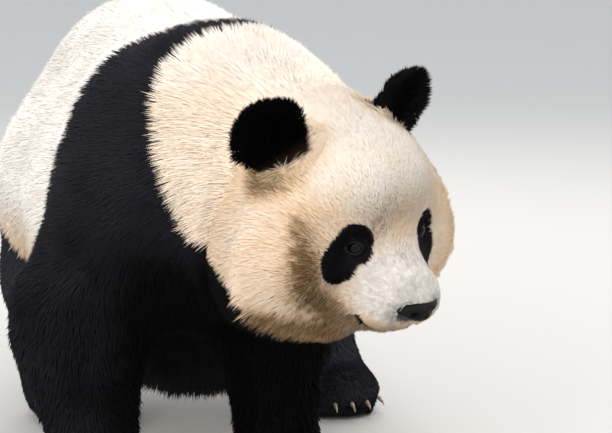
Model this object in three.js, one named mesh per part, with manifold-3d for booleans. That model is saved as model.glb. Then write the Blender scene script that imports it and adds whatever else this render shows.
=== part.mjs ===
// Giant panda, life size, paused in mid-stride with its head turned to its left.
// Millimetres, +Z up. The animal faces -Y, and its left side is towards +X.
// Every solid reaches out to the tips of the coat.

import * as THREE from "three";
import { mergeVertices } from "three/addons/utils/BufferGeometryUtils.js";
import Module from "manifold-3d";

const wasm = await Module();
wasm.setup();

const at = (x, y, z) => new THREE.Vector3(x, y, z);
const LEFT = 1;
const RIGHT = -1;
const FAR = 3000;

// ---------------------------------------------------------------- driving dimensions

const GAP = 0.3; // clearance between neighbouring parts
const WITHERS_Z = 755; // top of the coat over the shoulders
const BACK_Z = 762; // top of the coat over the loins
const FRONT_SHIFT = -95; // the forehand leans to the right in this stride
const HIND_SHIFT = 0;

const HEAD = {
  centre: at(22, -600, 523),
  yaw: 26, // degrees, to the animal's left
  pitch: 18, // degrees, nose down
  roll: 3.5, // degrees, left side up
};

// Where an eye looks out of the face, and which way, in the head's frame.
const EYE = { radius: 12.5, across: 66, height: 7, gaze: at(0.5, -0.86, 0.05), sunk: 13 };

// Half sizes of an ear, how far its middle is dished, and its place and turns in the head's frame.
const EAR = {
  half: at(62, 25, 64),
  dish: 16,
  place: at(133, 40, 129),
  turns: { tilt: 4, lean: 33, outward: 16 }, // degrees
};

// Half sizes of the nose pad, the depth of its wings, and its place and tilt in the head's frame.
const NOSE = { half: at(41, 19, 19), wrap: 10, place: at(0, -176, -61), tilt: -10 };

const TAIL = { half: at(58, 38, 92), place: at(HIND_SHIFT + 10, 650, 505), tilt: 14 };

// Joints of each leg, top to bottom, with the coat's radius at each.
const LEGS = {
  fore_right: {
    fore: true,
    top: [at(-192, -268, 490), 130],
    middle: [at(-284, -240, 308), 102],
    ankle: [at(-270, -272, 95), 74],
    paw: at(-270, -322, 46),
    heading: 8,
  },
  fore_left: {
    fore: true,
    top: [at(55, -270, 480), 130],
    middle: [at(34, -250, 300), 92],
    ankle: [at(24, -280, 95), 72],
    paw: at(20, -332, 46),
    heading: -12,
  },
  hind_right: {
    fore: false,
    top: [at(-128, 385, 430), 165],
    middle: [at(-178, 285, 270), 120],
    ankle: [at(-192, 330, 90), 80],
    paw: at(-197, 245, 44),
    heading: 4,
  },
  hind_left: {
    fore: false,
    top: [at(150, 385, 430), 170],
    middle: [at(226, 262, 270), 120],
    ankle: [at(282, 290, 90), 80],
    paw: at(296, 200, 44),
    heading: -4,
  },
};

const PAW = {
  fore: { half: at(80, 98, 54), toe: 27, spread: 31, reach: 74, claw: 38 },
  hind: { half: at(74, 112, 52), toe: 25, spread: 28, reach: 88, claw: 30 },
};
const TOES = 5;

// Where the animal is parted: planes of the head in its own frame, the rest in the animal's.
const HEAD_BACK = 118;
const FACE_BACK = -62;
const HEAD_ROOM = 270; // half the width of the region that holds the head
const BAND = {
  front: { point: at(0, -300, WITHERS_Z), normal: at(0, 1, -0.5) },
  rear: { point: at(0, -215, BACK_Z), normal: at(0, 1, 0.2) },
};
const WRIST_Z = 100;
const KNEE_Z = 255;
const LEG_BLOCKS = {
  fore_right: [at(-480, -470, -20), at(-118, -80, 350)],
  fore_left: [at(-102, -470, -20), at(340, -80, 350)],
  hind_right: [at(-440, 60, -20), at(0, 640, 400)],
  hind_left: [at(40, 40, -20), at(440, 640, 400)],
};

// Coarse cells for the trunk and legs, finer ones where the shape is small.
const CELL = { body: 64, head: 37, face: 23, paw: 38 };

const COLOUR = {
  cream: 0xe9dfcd,
  face: 0xf1ece2,
  black: 0x17161a,
  eye: 0x0e0b0a,
  nose: 0x121112,
  claw: 0xb9aea0,
};

// ---------------------------------------------------------------- distance fields

/** A stretched ball: centre, half sizes along its own axes, and an optional turn. */
function ball(centre, half, turn = new THREE.Quaternion()) {
  const back = turn.clone().invert();
  const p = at(0, 0, 0);
  return (q) => {
    p.copy(q).sub(centre).applyQuaternion(back);
    const a = Math.hypot(p.x / half.x, p.y / half.y, p.z / half.z);
    const b = Math.hypot(p.x / half.x ** 2, p.y / half.y ** 2, p.z / half.z ** 2);
    return b > 0 ? (a * (a - 1)) / b : -Math.min(half.x, half.y, half.z);
  };
}

/** A tapering limb with round ends, from a with radius ra to b with radius rb. */
function limb(a, ra, b, rb) {
  const along = b.clone().sub(a);
  const l2 = along.lengthSq();
  const dr = ra - rb;
  const a2 = l2 - dr * dr;
  const p = at(0, 0, 0);
  const side = at(0, 0, 0);
  return (q) => {
    p.copy(q).sub(a);
    const y = p.dot(along);
    const z = y - l2;
    side.copy(p).multiplyScalar(l2).addScaledVector(along, -y);
    const x2 = side.lengthSq();
    const y2 = y * y * l2;
    const z2 = z * z * l2;
    const k = Math.sign(dr) * dr * dr * x2;
    if (Math.sign(z) * a2 * z2 > k) return Math.sqrt(x2 + z2) / l2 - rb;
    if (Math.sign(y) * a2 * y2 < k) return Math.sqrt(x2 + y2) / l2 - ra;
    return (Math.sqrt((x2 * a2) / l2) + y * dr) / l2 - ra;
  };
}

/** Joins two fields with a fillet about as wide as `soft`. */
function blend(a, b, soft) {
  return (q) => {
    const fa = a(q);
    const fb = b(q);
    const h = Math.max(soft - Math.abs(fa - fb), 0) / soft;
    return Math.min(fa, fb) - (h * h * soft) / 4;
  };
}

const joinAll = (soft, ...fields) => fields.reduce((a, b) => blend(a, b, soft));

/** A field kept inside a box, so that a piece of it closes. */
function within(field, box) {
  const centre = box.getCenter(at(0, 0, 0));
  const half = box.getSize(at(0, 0, 0)).multiplyScalar(0.5);
  return (q) =>
    Math.max(
      field(q),
      Math.abs(q.x - centre.x) - half.x,
      Math.abs(q.y - centre.y) - half.y,
      Math.abs(q.z - centre.z) - half.z,
    );
}

// ---------------------------------------------------------------- the animal's form

/** A turn in degrees: about Y first, then X, then Z. */
function turned(x, y, z) {
  const angles = [x, y, z].map(THREE.MathUtils.degToRad);
  return new THREE.Quaternion().setFromEuler(new THREE.Euler(...angles, "ZXY"));
}

const headFrame = new THREE.Matrix4().compose(
  HEAD.centre,
  turned(HEAD.pitch, -HEAD.roll, HEAD.yaw),
  at(1, 1, 1),
);

/** The head in its own frame: face towards -Y, crown up. */
function headField() {
  const skull = ball(at(0, 14, 12), at(134, 118, 124));
  const crown = ball(at(0, -22, 62), at(92, 78, 66));
  let form = blend(skull, crown, 60);
  for (const side of [LEFT, RIGHT]) {
    const cheek = ball(at(side * 110, -9, -42), at(86, 92, 98));
    const ruff = ball(at(side * 82, 34, -88), at(84, 88, 87));
    const jowl = ball(at(side * 52, -42, -98), at(56, 66, 63));
    form = joinAll(45, form, cheek, ruff, jowl);
  }
  const bridge = limb(at(0, -84, -12), 38, at(0, -136, -46), 36);
  const muzzle = ball(at(0, -122, -66), at(65, 52, 41));
  const lips = ball(at(0, -122, -84), at(57, 46, 24));
  const chin = ball(at(0, -110, -98), at(46, 44, 20));
  form = joinAll(44, form, bridge, muzzle);
  for (const side of [LEFT, RIGHT]) {
    form = blend(form, ball(at(side * 31, -138, -68), at(35, 37, 33)), 20);
  }
  return joinAll(12, form, lips, chin);
}

/** A point on an eye's line of sight, `depth` below the face, in the head's frame. */
function eyePlace(face, side, depth) {
  const gaze = EYE.gaze.clone().setX(side * EYE.gaze.x).normalize();
  const p = at(side * EYE.across, -95, EYE.height).addScaledVector(gaze, 150);
  for (let n = 0; n < 60; n++) p.addScaledVector(gaze, -face(p) * 0.8);
  return p.addScaledVector(gaze, -depth);
}

/** The same field, placed in the animal's frame. */
function placed(field, frame) {
  const back = frame.clone().invert();
  const p = at(0, 0, 0);
  return (q) => field(p.copy(q).applyMatrix4(back));
}

function trunkField() {
  const rump = ball(at(HIND_SHIFT + 10, 400, 490), at(226, 255, BACK_Z - 492));
  const loins = ball(at(4, 170, 510), at(205, 330, BACK_Z - 515));
  const belly = ball(at(-18, 60, 358), at(268, 300, 250));
  const flanks = ball(at(0, 170, 430), at(268, 260, 200));
  const saddle = ball(at(FRONT_SHIFT + 45, -90, 560), at(190, 200, 168));
  const chest = ball(at(FRONT_SHIFT + 8, -225, 528), at(216, 225, 190));
  const withers = ball(at(FRONT_SHIFT + 25, -285, 632), at(128, 175, WITHERS_Z - 634));
  const bladeRight = ball(at(FRONT_SHIFT - 76, -222, 606), at(94, 135, 128));
  const form = joinAll(100, rump, loins, belly, flanks, saddle, chest, withers);
  return blend(form, bladeRight, 60);
}

function neckField() {
  const nape = limb(at(FRONT_SHIFT + 42, -310, 590), 163, at(10, -490, 552), 151);
  const throat = limb(at(FRONT_SHIFT + 10, -330, 490), 160, at(5, -505, 480), 132);
  return blend(nape, throat, 90);
}

const turnAboutZ = (degrees) => turned(0, 0, degrees);

/** The ball of toe number i, counted from the animal's right. */
function toePlace(leg, i) {
  const { spread, reach } = leg.fore ? PAW.fore : PAW.hind;
  const across = i - (TOES - 1) / 2;
  return at(across * spread, -reach + across * across * 7, -14)
    .applyQuaternion(turnAboutZ(leg.heading))
    .add(leg.paw);
}

function legField(leg) {
  const { half, toe } = leg.fore ? PAW.fore : PAW.hind;
  const upper = limb(leg.top[0], leg.top[1], leg.middle[0], leg.middle[1]);
  const lower = limb(leg.middle[0], leg.middle[1], leg.ankle[0], leg.ankle[1]);
  let form = blend(upper, lower, 60);
  form = blend(form, ball(leg.paw, half, turnAboutZ(leg.heading)), 45);
  for (let i = 0; i < TOES; i++) {
    form = blend(form, ball(toePlace(leg, i), at(toe, toe + 6, toe + 2)), 16);
  }
  return form;
}

function animalField() {
  let form = blend(trunkField(), neckField(), 90);
  for (const leg of Object.values(LEGS)) form = blend(form, legField(leg), 70);
  return blend(form, placed(headField(), headFrame), 60);
}

// ---------------------------------------------------------------- surfaces from fields

/** The closed surface where the field is zero, as nearly square faces about `cell` wide. */
function surfaceOf(field, box, cell) {
  const count = box.getSize(at(0, 0, 0)).divideScalar(cell).ceil();
  const [nx, ny, nz] = [count.x, count.y, count.z];
  const corner = (i, j, k) => at(i, j, k).multiplyScalar(cell).add(box.min);
  const index = (i, j, k) => (k * (ny + 1) + j) * (nx + 1) + i;
  const value = new Float64Array((nx + 1) * (ny + 1) * (nz + 1));
  for (let k = 0; k <= nz; k++)
    for (let j = 0; j <= ny; j++)
      for (let i = 0; i <= nx; i++) value[index(i, j, k)] = field(corner(i, j, k));

  const points = [];
  const pointOf = new Map();
  for (let k = 0; k < nz; k++)
    for (let j = 0; j < ny; j++)
      for (let i = 0; i < nx; i++) {
        const found = cellCrossing(value, index, corner, i, j, k);
        if (found) {
          pointOf.set(index(i, j, k), points.length);
          points.push(found);
        }
      }

  const faces = [];
  const steps = [
    [[1, 0, 0], [0, 1, 0], [0, 0, 1]],
    [[0, 1, 0], [0, 0, 1], [1, 0, 0]],
    [[0, 0, 1], [1, 0, 0], [0, 1, 0]],
  ];
  for (let k = 1; k < nz; k++)
    for (let j = 1; j < ny; j++)
      for (let i = 1; i < nx; i++)
        for (const [edge, u, w] of steps) {
          const here = value[index(i, j, k)];
          const there = value[index(i + edge[0], j + edge[1], k + edge[2])];
          if (here < 0 === there < 0) continue;
          const ring = [[0, 0], [1, 0], [1, 1], [0, 1]].map(([a, b]) =>
            pointOf.get(
              index(
                i - a * u[0] - b * w[0],
                j - a * u[1] - b * w[1],
                k - a * u[2] - b * w[2],
              ),
            ),
          );
          faces.push(here < 0 ? ring : ring.reverse());
        }
  settle(field, points, faces, cell);
  return geometryOf(points, faces);
}

/** The mean of the points where the field crosses zero on a cell's edges, if it does. */
function cellCrossing(value, index, corner, i, j, k) {
  const sum = at(0, 0, 0);
  let crossings = 0;
  for (let axis = 0; axis < 3; axis++)
    for (let a = 0; a < 2; a++)
      for (let b = 0; b < 2; b++) {
        const start = [i, j, k];
        start[(axis + 1) % 3] += a;
        start[(axis + 2) % 3] += b;
        const end = [...start];
        end[axis] += 1;
        const from = value[index(...start)];
        const to = value[index(...end)];
        if (from < 0 === to < 0) continue;
        sum.add(corner(...start).lerp(corner(...end), from / (from - to)));
        crossings += 1;
      }
  return crossings ? sum.divideScalar(crossings) : null;
}

/** Evens the points out along the surface, then brings each one onto it. */
function settle(field, points, faces, cell) {
  const ROUNDS = 3;
  for (let round = 0; round < ROUNDS; round++) {
    const sums = points.map(() => at(0, 0, 0));
    const counts = points.map(() => 0);
    for (const ring of faces)
      ring.forEach((p, n) => {
        const next = ring[(n + 1) % ring.length];
        sums[p].add(points[next]);
        counts[p] += 1;
        sums[next].add(points[p]);
        counts[next] += 1;
      });
    points.forEach((p, n) => p.lerp(sums[n].divideScalar(counts[n]), 0.5));
    for (const p of points) ontoSurface(field, p, cell);
  }
}

function ontoSurface(field, p, cell) {
  const STEP = 1;
  const TRIES = 3;
  for (let n = 0; n < TRIES; n++) {
    const f = field(p);
    const slope = at(
      field(at(p.x + STEP, p.y, p.z)) - f,
      field(at(p.x, p.y + STEP, p.z)) - f,
      field(at(p.x, p.y, p.z + STEP)) - f,
    ).divideScalar(STEP);
    const move = slope.multiplyScalar(-f / Math.max(slope.lengthSq(), 0.1));
    p.add(move.clampLength(0, cell / 2));
  }
}

/** A geometry of triangles, each four-sided face split along its shorter diagonal. */
function geometryOf(points, faces) {
  const corners = [];
  for (const [a, b, c, d] of faces) {
    const short = points[a].distanceTo(points[c]) < points[b].distanceTo(points[d]);
    corners.push(...(short ? [a, b, c, a, c, d] : [a, b, d, b, c, d]));
  }
  const geometry = new THREE.BufferGeometry();
  geometry.setAttribute(
    "position",
    new THREE.Float32BufferAttribute(points.flatMap((p) => p.toArray()), 3),
  );
  geometry.setIndex(corners);
  return geometry;
}

// ---------------------------------------------------------------- cuts and joins

/** A closed geometry as a solid. */
function solid(geometry) {
  const bare = geometry.clone();
  bare.deleteAttribute("normal");
  bare.deleteAttribute("uv");
  const merged = mergeVertices(bare, 1e-3);
  return new wasm.Manifold(
    new wasm.Mesh({
      numProp: 3,
      vertProperties: new Float32Array(merged.attributes.position.array),
      triVerts: new Uint32Array(merged.index.array),
    }),
  );
}

/** Joins points closer than `reach`, and drops the triangles that this closes up. */
function weld(geometry, reach) {
  const welded = mergeVertices(geometry, reach);
  const corners = [...welded.index.array];
  const kept = [];
  while (corners.length) {
    const [a, b, c] = corners.splice(-3);
    if (a !== b && b !== c && c !== a) kept.push(a, b, c);
  }
  return welded.setIndex(kept);
}

/** A solid as a named mesh. */
function part(name, body, colour, roughness = 0.9) {
  const WELD = 0.05;
  const mesh = body.getMesh();
  const bare = new THREE.BufferGeometry();
  bare.setAttribute("position", new THREE.Float32BufferAttribute(mesh.vertProperties, 3));
  bare.setIndex([...mesh.triVerts]);
  const geometry = weld(bare, WELD);
  geometry.computeVertexNormals();
  const material = new THREE.MeshStandardMaterial({ color: colour, roughness, metalness: 0 });
  const made = new THREE.Mesh(geometry, material);
  made.name = name;
  return made;
}

/** The half of a solid on the side that `normal` points to, past the plane through `point`. */
function half(body, normal, point, clear = GAP / 2) {
  const n = normal.clone().normalize();
  return body.trimByPlane(n.toArray(), n.dot(point) + clear);
}

/** A box given by its two corners, grown by `grow`, then placed by `frame`. */
function block(low, high, grow = 0, frame = new THREE.Matrix4()) {
  const size = high.clone().sub(low).addScalar(2 * grow);
  const geometry = new THREE.BoxGeometry(size.x, size.y, size.z);
  const centre = low.clone().add(high).multiplyScalar(0.5);
  geometry.translate(centre.x, centre.y, centre.z);
  return solid(geometry.applyMatrix4(frame));
}

const boxAround = (low, high) => new THREE.Box3(low.clone(), high.clone());

// ---------------------------------------------------------------- small parts

/** A stretched ball as a solid, placed in the head's frame. */
function headBall(centre, half, round = 10) {
  const geometry = new THREE.SphereGeometry(1, round, Math.round(0.7 * round));
  geometry.scale(half.x, half.y, half.z);
  geometry.translate(centre.x, centre.y, centre.z);
  return solid(geometry.applyMatrix4(headFrame));
}

function eyeball(side, grow = 0) {
  const radius = EYE.radius + grow;
  return headBall(eyePlace(headField(), side, EYE.sunk), at(radius, radius, radius));
}

/** The hollow that an eye lies in, open to the front. */
const eyeSocket = (side) => headBall(eyePlace(headField(), side, 0), at(23, 20, 18));

/** An ear: a thick round dish, open to the front, with its root sunk in the head. */
function ear(side, grow = 0) {
  const geometry = new THREE.SphereGeometry(1, 14, 8);
  const place = geometry.attributes.position;
  for (let n = 0; n < place.count; n++) {
    const [x, y, z] = [place.getX(n), place.getY(n), place.getZ(n)];
    const narrow = z < 0 ? 1 + 0.22 * z : 1;
    place.setXYZ(
      n,
      x * (EAR.half.x + grow) * narrow,
      y * (EAR.half.y + grow) + EAR.dish * (1 - x * x - z * z),
      z * (EAR.half.z + grow),
    );
  }
  const { tilt, lean, outward } = EAR.turns;
  const turn = turned(tilt, side * lean, side * outward);
  const root = EAR.place.clone().setX(side * EAR.place.x);
  const frame = new THREE.Matrix4().compose(root, turn, at(1, 1, 1));
  return solid(geometry.applyMatrix4(frame).applyMatrix4(headFrame));
}

/** The nose pad: wide above, narrowing to the lip, wrapped round the muzzle's end. */
function nosePad(grow = 0) {
  const geometry = new THREE.SphereGeometry(1, 12, 8);
  const place = geometry.attributes.position;
  for (let n = 0; n < place.count; n++) {
    const [x, y, z] = [place.getX(n), place.getY(n), place.getZ(n)];
    const taper = 0.7 + 0.3 * z;
    place.setXYZ(
      n,
      x * (NOSE.half.x + grow) * taper,
      y * (NOSE.half.y + grow) + NOSE.wrap * x * x,
      z * (NOSE.half.z + grow),
    );
  }
  const frame = new THREE.Matrix4().compose(NOSE.place, turned(NOSE.tilt, 0, 0), at(1, 1, 1));
  return solid(geometry.applyMatrix4(frame).applyMatrix4(headFrame));
}

/** A claw: a flattened cone bent down towards its tip, rooted in its toe. */
function claw(leg, i, grow = 0) {
  const { claw: length, toe } = leg.fore ? PAW.fore : PAW.hind;
  const ROOT_RADIUS = 6.5;
  const BEND = 0.9; // radians from root to tip
  const geometry = new THREE.ConeGeometry(ROOT_RADIUS + grow, length + grow, 6, 3);
  geometry.translate(0, length / 2, 0);
  const place = geometry.attributes.position;
  const radius = length / BEND;
  for (let n = 0; n < place.count; n++) {
    const [x, y, z] = [place.getX(n), place.getY(n), place.getZ(n)];
    const angle = y / radius;
    const r = radius + z;
    place.setXYZ(n, -x * 0.75, -Math.sin(angle) * r, Math.cos(angle) * r - radius);
  }
  const across = i - (TOES - 1) / 2;
  const turn = turnAboutZ(leg.heading + across * 5);
  const root = at(0, -toe * 0.72, 2).applyQuaternion(turn).add(toePlace(leg, i));
  return solid(geometry.applyMatrix4(new THREE.Matrix4().compose(root, turn, at(1, 1, 1))));
}

function tail(grow = 0) {
  const geometry = new THREE.SphereGeometry(1, 12, 9);
  geometry.scale(TAIL.half.x + grow, TAIL.half.y + grow, TAIL.half.z + grow);
  const frame = new THREE.Matrix4().compose(TAIL.place, turned(TAIL.tilt, 0, 0), at(1, 1, 1));
  return solid(geometry.applyMatrix4(frame));
}

// ---------------------------------------------------------------- assembly

const field = animalField();
const bodyBox = boxAround(at(-500, -940, -130), at(500, 800, 940));
const wholeBody = solid(surfaceOf(field, bodyBox, CELL.body));
const belowFloor = block(at(-FAR, -FAR, -FAR), at(FAR, FAR, 0));

/** A finer surface of one region of the animal, closed where the region ends. */
function fineRegion(low, high, cell) {
  const margin = 2 * cell;
  const grown = boxAround(low.clone().subScalar(margin), high.clone().addScalar(margin));
  return solid(surfaceOf(within(field, boxAround(low, high)), grown, cell));
}

const group = new THREE.Group();
let rest = wholeBody.subtract(belowFloor);

/** Takes the region inside a block out of the body; what is left keeps clear of it. */
function takeOut(low, high) {
  const taken = rest.intersect(block(low, high));
  rest = rest.subtract(block(low, high, GAP));
  return taken;
}

// The head: one plane behind the cheeks parts it from the neck, one behind the eyes its face.

/** The corners of the head's room between two depths, in its own frame. */
const headRoom = (front, back) => [
  at(-HEAD_ROOM, front, -HEAD_ROOM),
  at(HEAD_ROOM, back, HEAD_ROOM),
];

/** The part of the head between two depths in its own frame. */
function headPiece(front, back, cell) {
  const [low, high] = headRoom(front, back);
  const reach = boxAround(low, high).applyMatrix4(headFrame);
  return fineRegion(reach.min, reach.max, cell).intersect(block(low, high, 0, headFrame));
}

rest = rest.subtract(block(...headRoom(-HEAD_ROOM, HEAD_BACK + GAP), 0, headFrame));
let face = headPiece(-HEAD_ROOM, FACE_BACK, CELL.face).subtract(nosePad(GAP));
let head = headPiece(FACE_BACK + GAP, HEAD_BACK, CELL.head);
for (const side of [LEFT, RIGHT]) {
  const word = side === LEFT ? "left" : "right";
  face = face.subtract(eyeSocket(side)).subtract(eyeball(side, GAP));
  head = head.subtract(ear(side, GAP));
  group.add(part(`eye_${word}`, eyeball(side), COLOUR.eye, 0.15));
  group.add(part(`ear_${word}`, ear(side), COLOUR.black));
}
group.add(part("nose", nosePad(), COLOUR.nose, 0.4));
group.add(part("face", face, COLOUR.face));
group.add(part("head", head, COLOUR.face));

// Each leg is parted from the trunk by a block, then cut across, top to bottom.
const SEGMENTS = {
  fore: [["forearm", WRIST_Z]],
  hind: [["thigh", KNEE_Z], ["shank", WRIST_Z]],
};
const PAW_NAME = { fore: "forepaw", hind: "hindpaw" };
const UP = at(0, 0, 1);
const DOWN = at(0, 0, -1);

for (const [name, leg] of Object.entries(LEGS)) {
  const [kind, word] = name.split("_");
  let above = takeOut(...LEG_BLOCKS[name]);
  for (const [segment, level] of SEGMENTS[kind]) {
    const cut = at(0, 0, level);
    group.add(part(`${segment}_${word}`, half(above, UP, cut), COLOUR.black));
    above = half(above, DOWN, cut);
  }

  const PAW_REACH = at(150, 190, 0);
  const low = leg.paw.clone().sub(PAW_REACH).setZ(-60);
  const high = leg.paw.clone().add(PAW_REACH).setZ(WRIST_Z + 2 * CELL.paw);
  let paw = fineRegion(low, high, CELL.paw).subtract(belowFloor);
  paw = half(paw, DOWN, at(0, 0, WRIST_Z));
  for (let i = 0; i < TOES; i++) {
    paw = paw.subtract(claw(leg, i, GAP));
    group.add(part(`claw_${name}_${i + 1}`, claw(leg, i), COLOUR.claw, 0.35));
  }
  group.add(part(`${PAW_NAME[kind]}_${word}`, paw, COLOUR.black));
}

// The tail, then the neck, the black shoulder band and the rest of the trunk.
rest = rest.subtract(tail(GAP));
group.add(part("tail", tail(), COLOUR.cream));
const forehand = half(rest, BAND.rear.normal.clone().negate(), BAND.rear.point);
group.add(part("trunk", half(rest, BAND.rear.normal, BAND.rear.point), COLOUR.cream));
group.add(part("shoulders", half(forehand, BAND.front.normal, BAND.front.point), COLOUR.black));
group.add(
  part("neck", half(forehand, BAND.front.normal.clone().negate(), BAND.front.point), COLOUR.cream),
);

// The origin is under the middle of the animal, on the floor.
const reachOfAll = new THREE.Box3().setFromObject(group);
const middle = reachOfAll.getCenter(at(0, 0, 0));
group.position.set(-middle.x, -middle.y, 0);

export default group;
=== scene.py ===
"""Giant panda, life size: one skin, a coat of solid tufts, eyes, nose pad and claws.

Metres, +Z up. The animal faces -Y and its left side is towards +X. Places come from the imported
solids, which reach out to the tips of the coat; the skin lies inside them by the coat's depth.
"""

import itertools
import logging
import math
from dataclasses import dataclass, field
from enum import Enum
from typing import Any, Sequence

import bmesh
import bpy
import numpy as np
from mathutils import Matrix, Vector
from mathutils.bvhtree import BVHTree

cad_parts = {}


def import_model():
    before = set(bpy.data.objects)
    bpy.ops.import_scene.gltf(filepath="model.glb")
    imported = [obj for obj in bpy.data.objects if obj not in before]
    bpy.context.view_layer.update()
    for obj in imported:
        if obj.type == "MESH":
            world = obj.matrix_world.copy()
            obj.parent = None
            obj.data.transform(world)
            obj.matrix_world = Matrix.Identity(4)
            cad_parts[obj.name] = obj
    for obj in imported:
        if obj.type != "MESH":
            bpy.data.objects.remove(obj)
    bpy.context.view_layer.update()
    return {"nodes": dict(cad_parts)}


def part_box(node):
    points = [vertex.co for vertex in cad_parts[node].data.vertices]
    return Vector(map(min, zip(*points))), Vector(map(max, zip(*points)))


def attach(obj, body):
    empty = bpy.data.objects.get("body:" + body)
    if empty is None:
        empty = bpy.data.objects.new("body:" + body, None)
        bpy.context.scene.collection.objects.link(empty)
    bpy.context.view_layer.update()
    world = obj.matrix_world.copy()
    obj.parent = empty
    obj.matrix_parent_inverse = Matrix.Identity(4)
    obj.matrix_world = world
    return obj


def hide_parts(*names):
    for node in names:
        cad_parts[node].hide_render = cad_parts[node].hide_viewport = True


log = logging.getLogger("panda")

Points = np.ndarray
"""An array of points or directions, one row each."""

LEFT, RIGHT = 1, -1
SIDES = {"left": LEFT, "right": RIGHT}
BAKE_MAP = "OFBake"


class Slot(Enum):
    """Names for material slots, which no piece here is given."""

    WHITE = "white_coat"
    BLACK = "black_coat"
    NOSE = "nose"
    EYE = "eye"
    CLAW = "claw"


# ---------------------------------------------------------------- small maths


def ease(x: Points, start: float, end: float) -> Points:
    """Runs smoothly from 0 at `start` to 1 at `end`, which may be the lower of the two."""
    t = np.clip((x - start) / (end - start), 0.0, 1.0)
    return t * t * (3.0 - 2.0 * t)


def unit(v: Points) -> Points:
    """Each row scaled to length 1."""
    return v / np.maximum(np.linalg.norm(v, axis=-1, keepdims=True), 1e-9)


def along(v: Points, n: Points) -> Points:
    """Each row of v with its part along the unit rows of n taken off, at length 1."""
    return unit(v - n * np.sum(v * n, axis=1, keepdims=True))


def wander(p: Points, size: float, seed: int) -> Points:
    """Smooth noise from -1 to 1 that changes over about `size` metres.

    Args:
        p: The points, one row each.
        size: The distance over which the noise changes.
        seed: Which of many such noises it is.

    Returns:
        One number for each point.
    """
    entries = 4096
    table = np.random.default_rng(seed).uniform(-1.0, 1.0, entries)
    q = p / size
    cell = np.floor(q).astype(np.int64)
    t = q - cell
    t = t * t * (3.0 - 2.0 * t)
    total = np.zeros(len(p))
    for corner in itertools.product((0, 1), repeat=3):
        key = cell_keys(cell + corner) % entries
        total += np.prod(np.where(corner, t, 1.0 - t), axis=1) * table[key]
    return total


def cell_keys(cells: np.ndarray) -> np.ndarray:
    """One number for each row of whole numbers, scattered so that neighbours' differ."""
    return cells[:, 0] * 73856093 ^ cells[:, 1] * 19349663 ^ cells[:, 2] * 83492791


def turned(x: float, y: float, z: float) -> np.ndarray:
    """A turn in degrees, about Y first, then X, then Z, as a 3x3 matrix."""
    rx, ry, rz = (Matrix.Rotation(math.radians(a), 3, k) for a, k in ((x, "X"), (y, "Y"), (z, "Z")))
    return np.array(rz @ rx @ ry)


def middle(node: str) -> np.ndarray:
    """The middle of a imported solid's box."""
    low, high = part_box(node)
    return np.array((low + high) / 2)


# ---------------------------------------------------------------- frames on the animal


class HeadFrame:
    """The head's own axes: x to its left, y backwards, z up, from the middle of the skull."""

    NOSE_BELOW_EYES = math.radians(39.25)
    EYES = np.array((0.0012, -0.0919, 0.0077))
    GAZE = {LEFT: (0.30, -0.95, 0.05), RIGHT: (-0.72, -0.68, 0.12)}

    def __init__(self) -> None:
        """Finds the axes from the eyes and the nose pad."""
        left, right, nose = middle("eye_left"), middle("eye_right"), middle("nose")
        self.eyes = (left + right) / 2
        x = (left - right) / np.linalg.norm(left - right)
        down = nose - self.eyes
        down -= x * (down @ x)
        down /= np.linalg.norm(down)
        across = np.cross(x, down)
        c, s = math.cos(self.NOSE_BELOW_EYES), math.sin(self.NOSE_BELOW_EYES)
        y = s * across - c * down
        z = -s * down - c * across
        self.turn = np.column_stack((x, y, z))
        self.centre = self.eyes - self.turn @ self.EYES

    def inside(self, p: Points) -> Points:
        """Points of the animal's frame in the head's own."""
        return (p - self.centre) @ self.turn

    def outside(self, h: Points) -> Points:
        """Points of the head's own frame in the animal's."""
        return h @ self.turn.T + self.centre

    def gaze(self, side: int) -> np.ndarray:
        """The way an eye looks, in the animal's frame."""
        gaze = self.turn @ self.GAZE[side]
        return gaze / np.linalg.norm(gaze)


@dataclass(frozen=True)
class EarFrame:
    """One ear's own axes: x across the dish, y backwards through it, z from root to rim."""

    head: HeadFrame
    side: int
    place: tuple[float, float, float] = (0.133, 0.040, 0.129)
    half: tuple[float, float, float] = (0.062, 0.030, 0.064)
    tilt: float = 4.0
    lean: float = 33.0
    outward: float = 16.0

    def turn(self) -> np.ndarray:
        """The ear's axes in the head's frame, as columns."""
        return turned(self.tilt, self.side * self.lean, self.side * self.outward)

    def inside(self, h: Points) -> Points:
        """Points of the head's frame in the ear's, as shares of its half sizes."""
        place = np.array(self.place) * (self.side, 1.0, 1.0)
        return (h - place) @ self.turn() / self.half


class EyeFrame:
    """One eye's own axes: u across, v up, w along its line of sight, from the eyeball's middle."""

    def __init__(self, head: HeadFrame, side: int) -> None:
        """Finds the eyeball's middle and axes.

        Args:
            head: The head's frame.
            side: LEFT or RIGHT.
        """
        self.centre = middle("eye_left" if side == LEFT else "eye_right")
        w = head.gaze(side)
        up = head.turn[:, 2]
        v = up - w * (up @ w)
        v /= np.linalg.norm(v)
        self.turn = np.column_stack((np.cross(v, w), v, w))

    def inside(self, p: Points) -> Points:
        """Points of the animal's frame in the eye's own."""
        return (p - self.centre) @ self.turn

    def outside(self, e: Points) -> Points:
        """Points of the eye's own frame in the animal's."""
        return e @ self.turn.T + self.centre


# ---------------------------------------------------------------- where the coat is what


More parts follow.
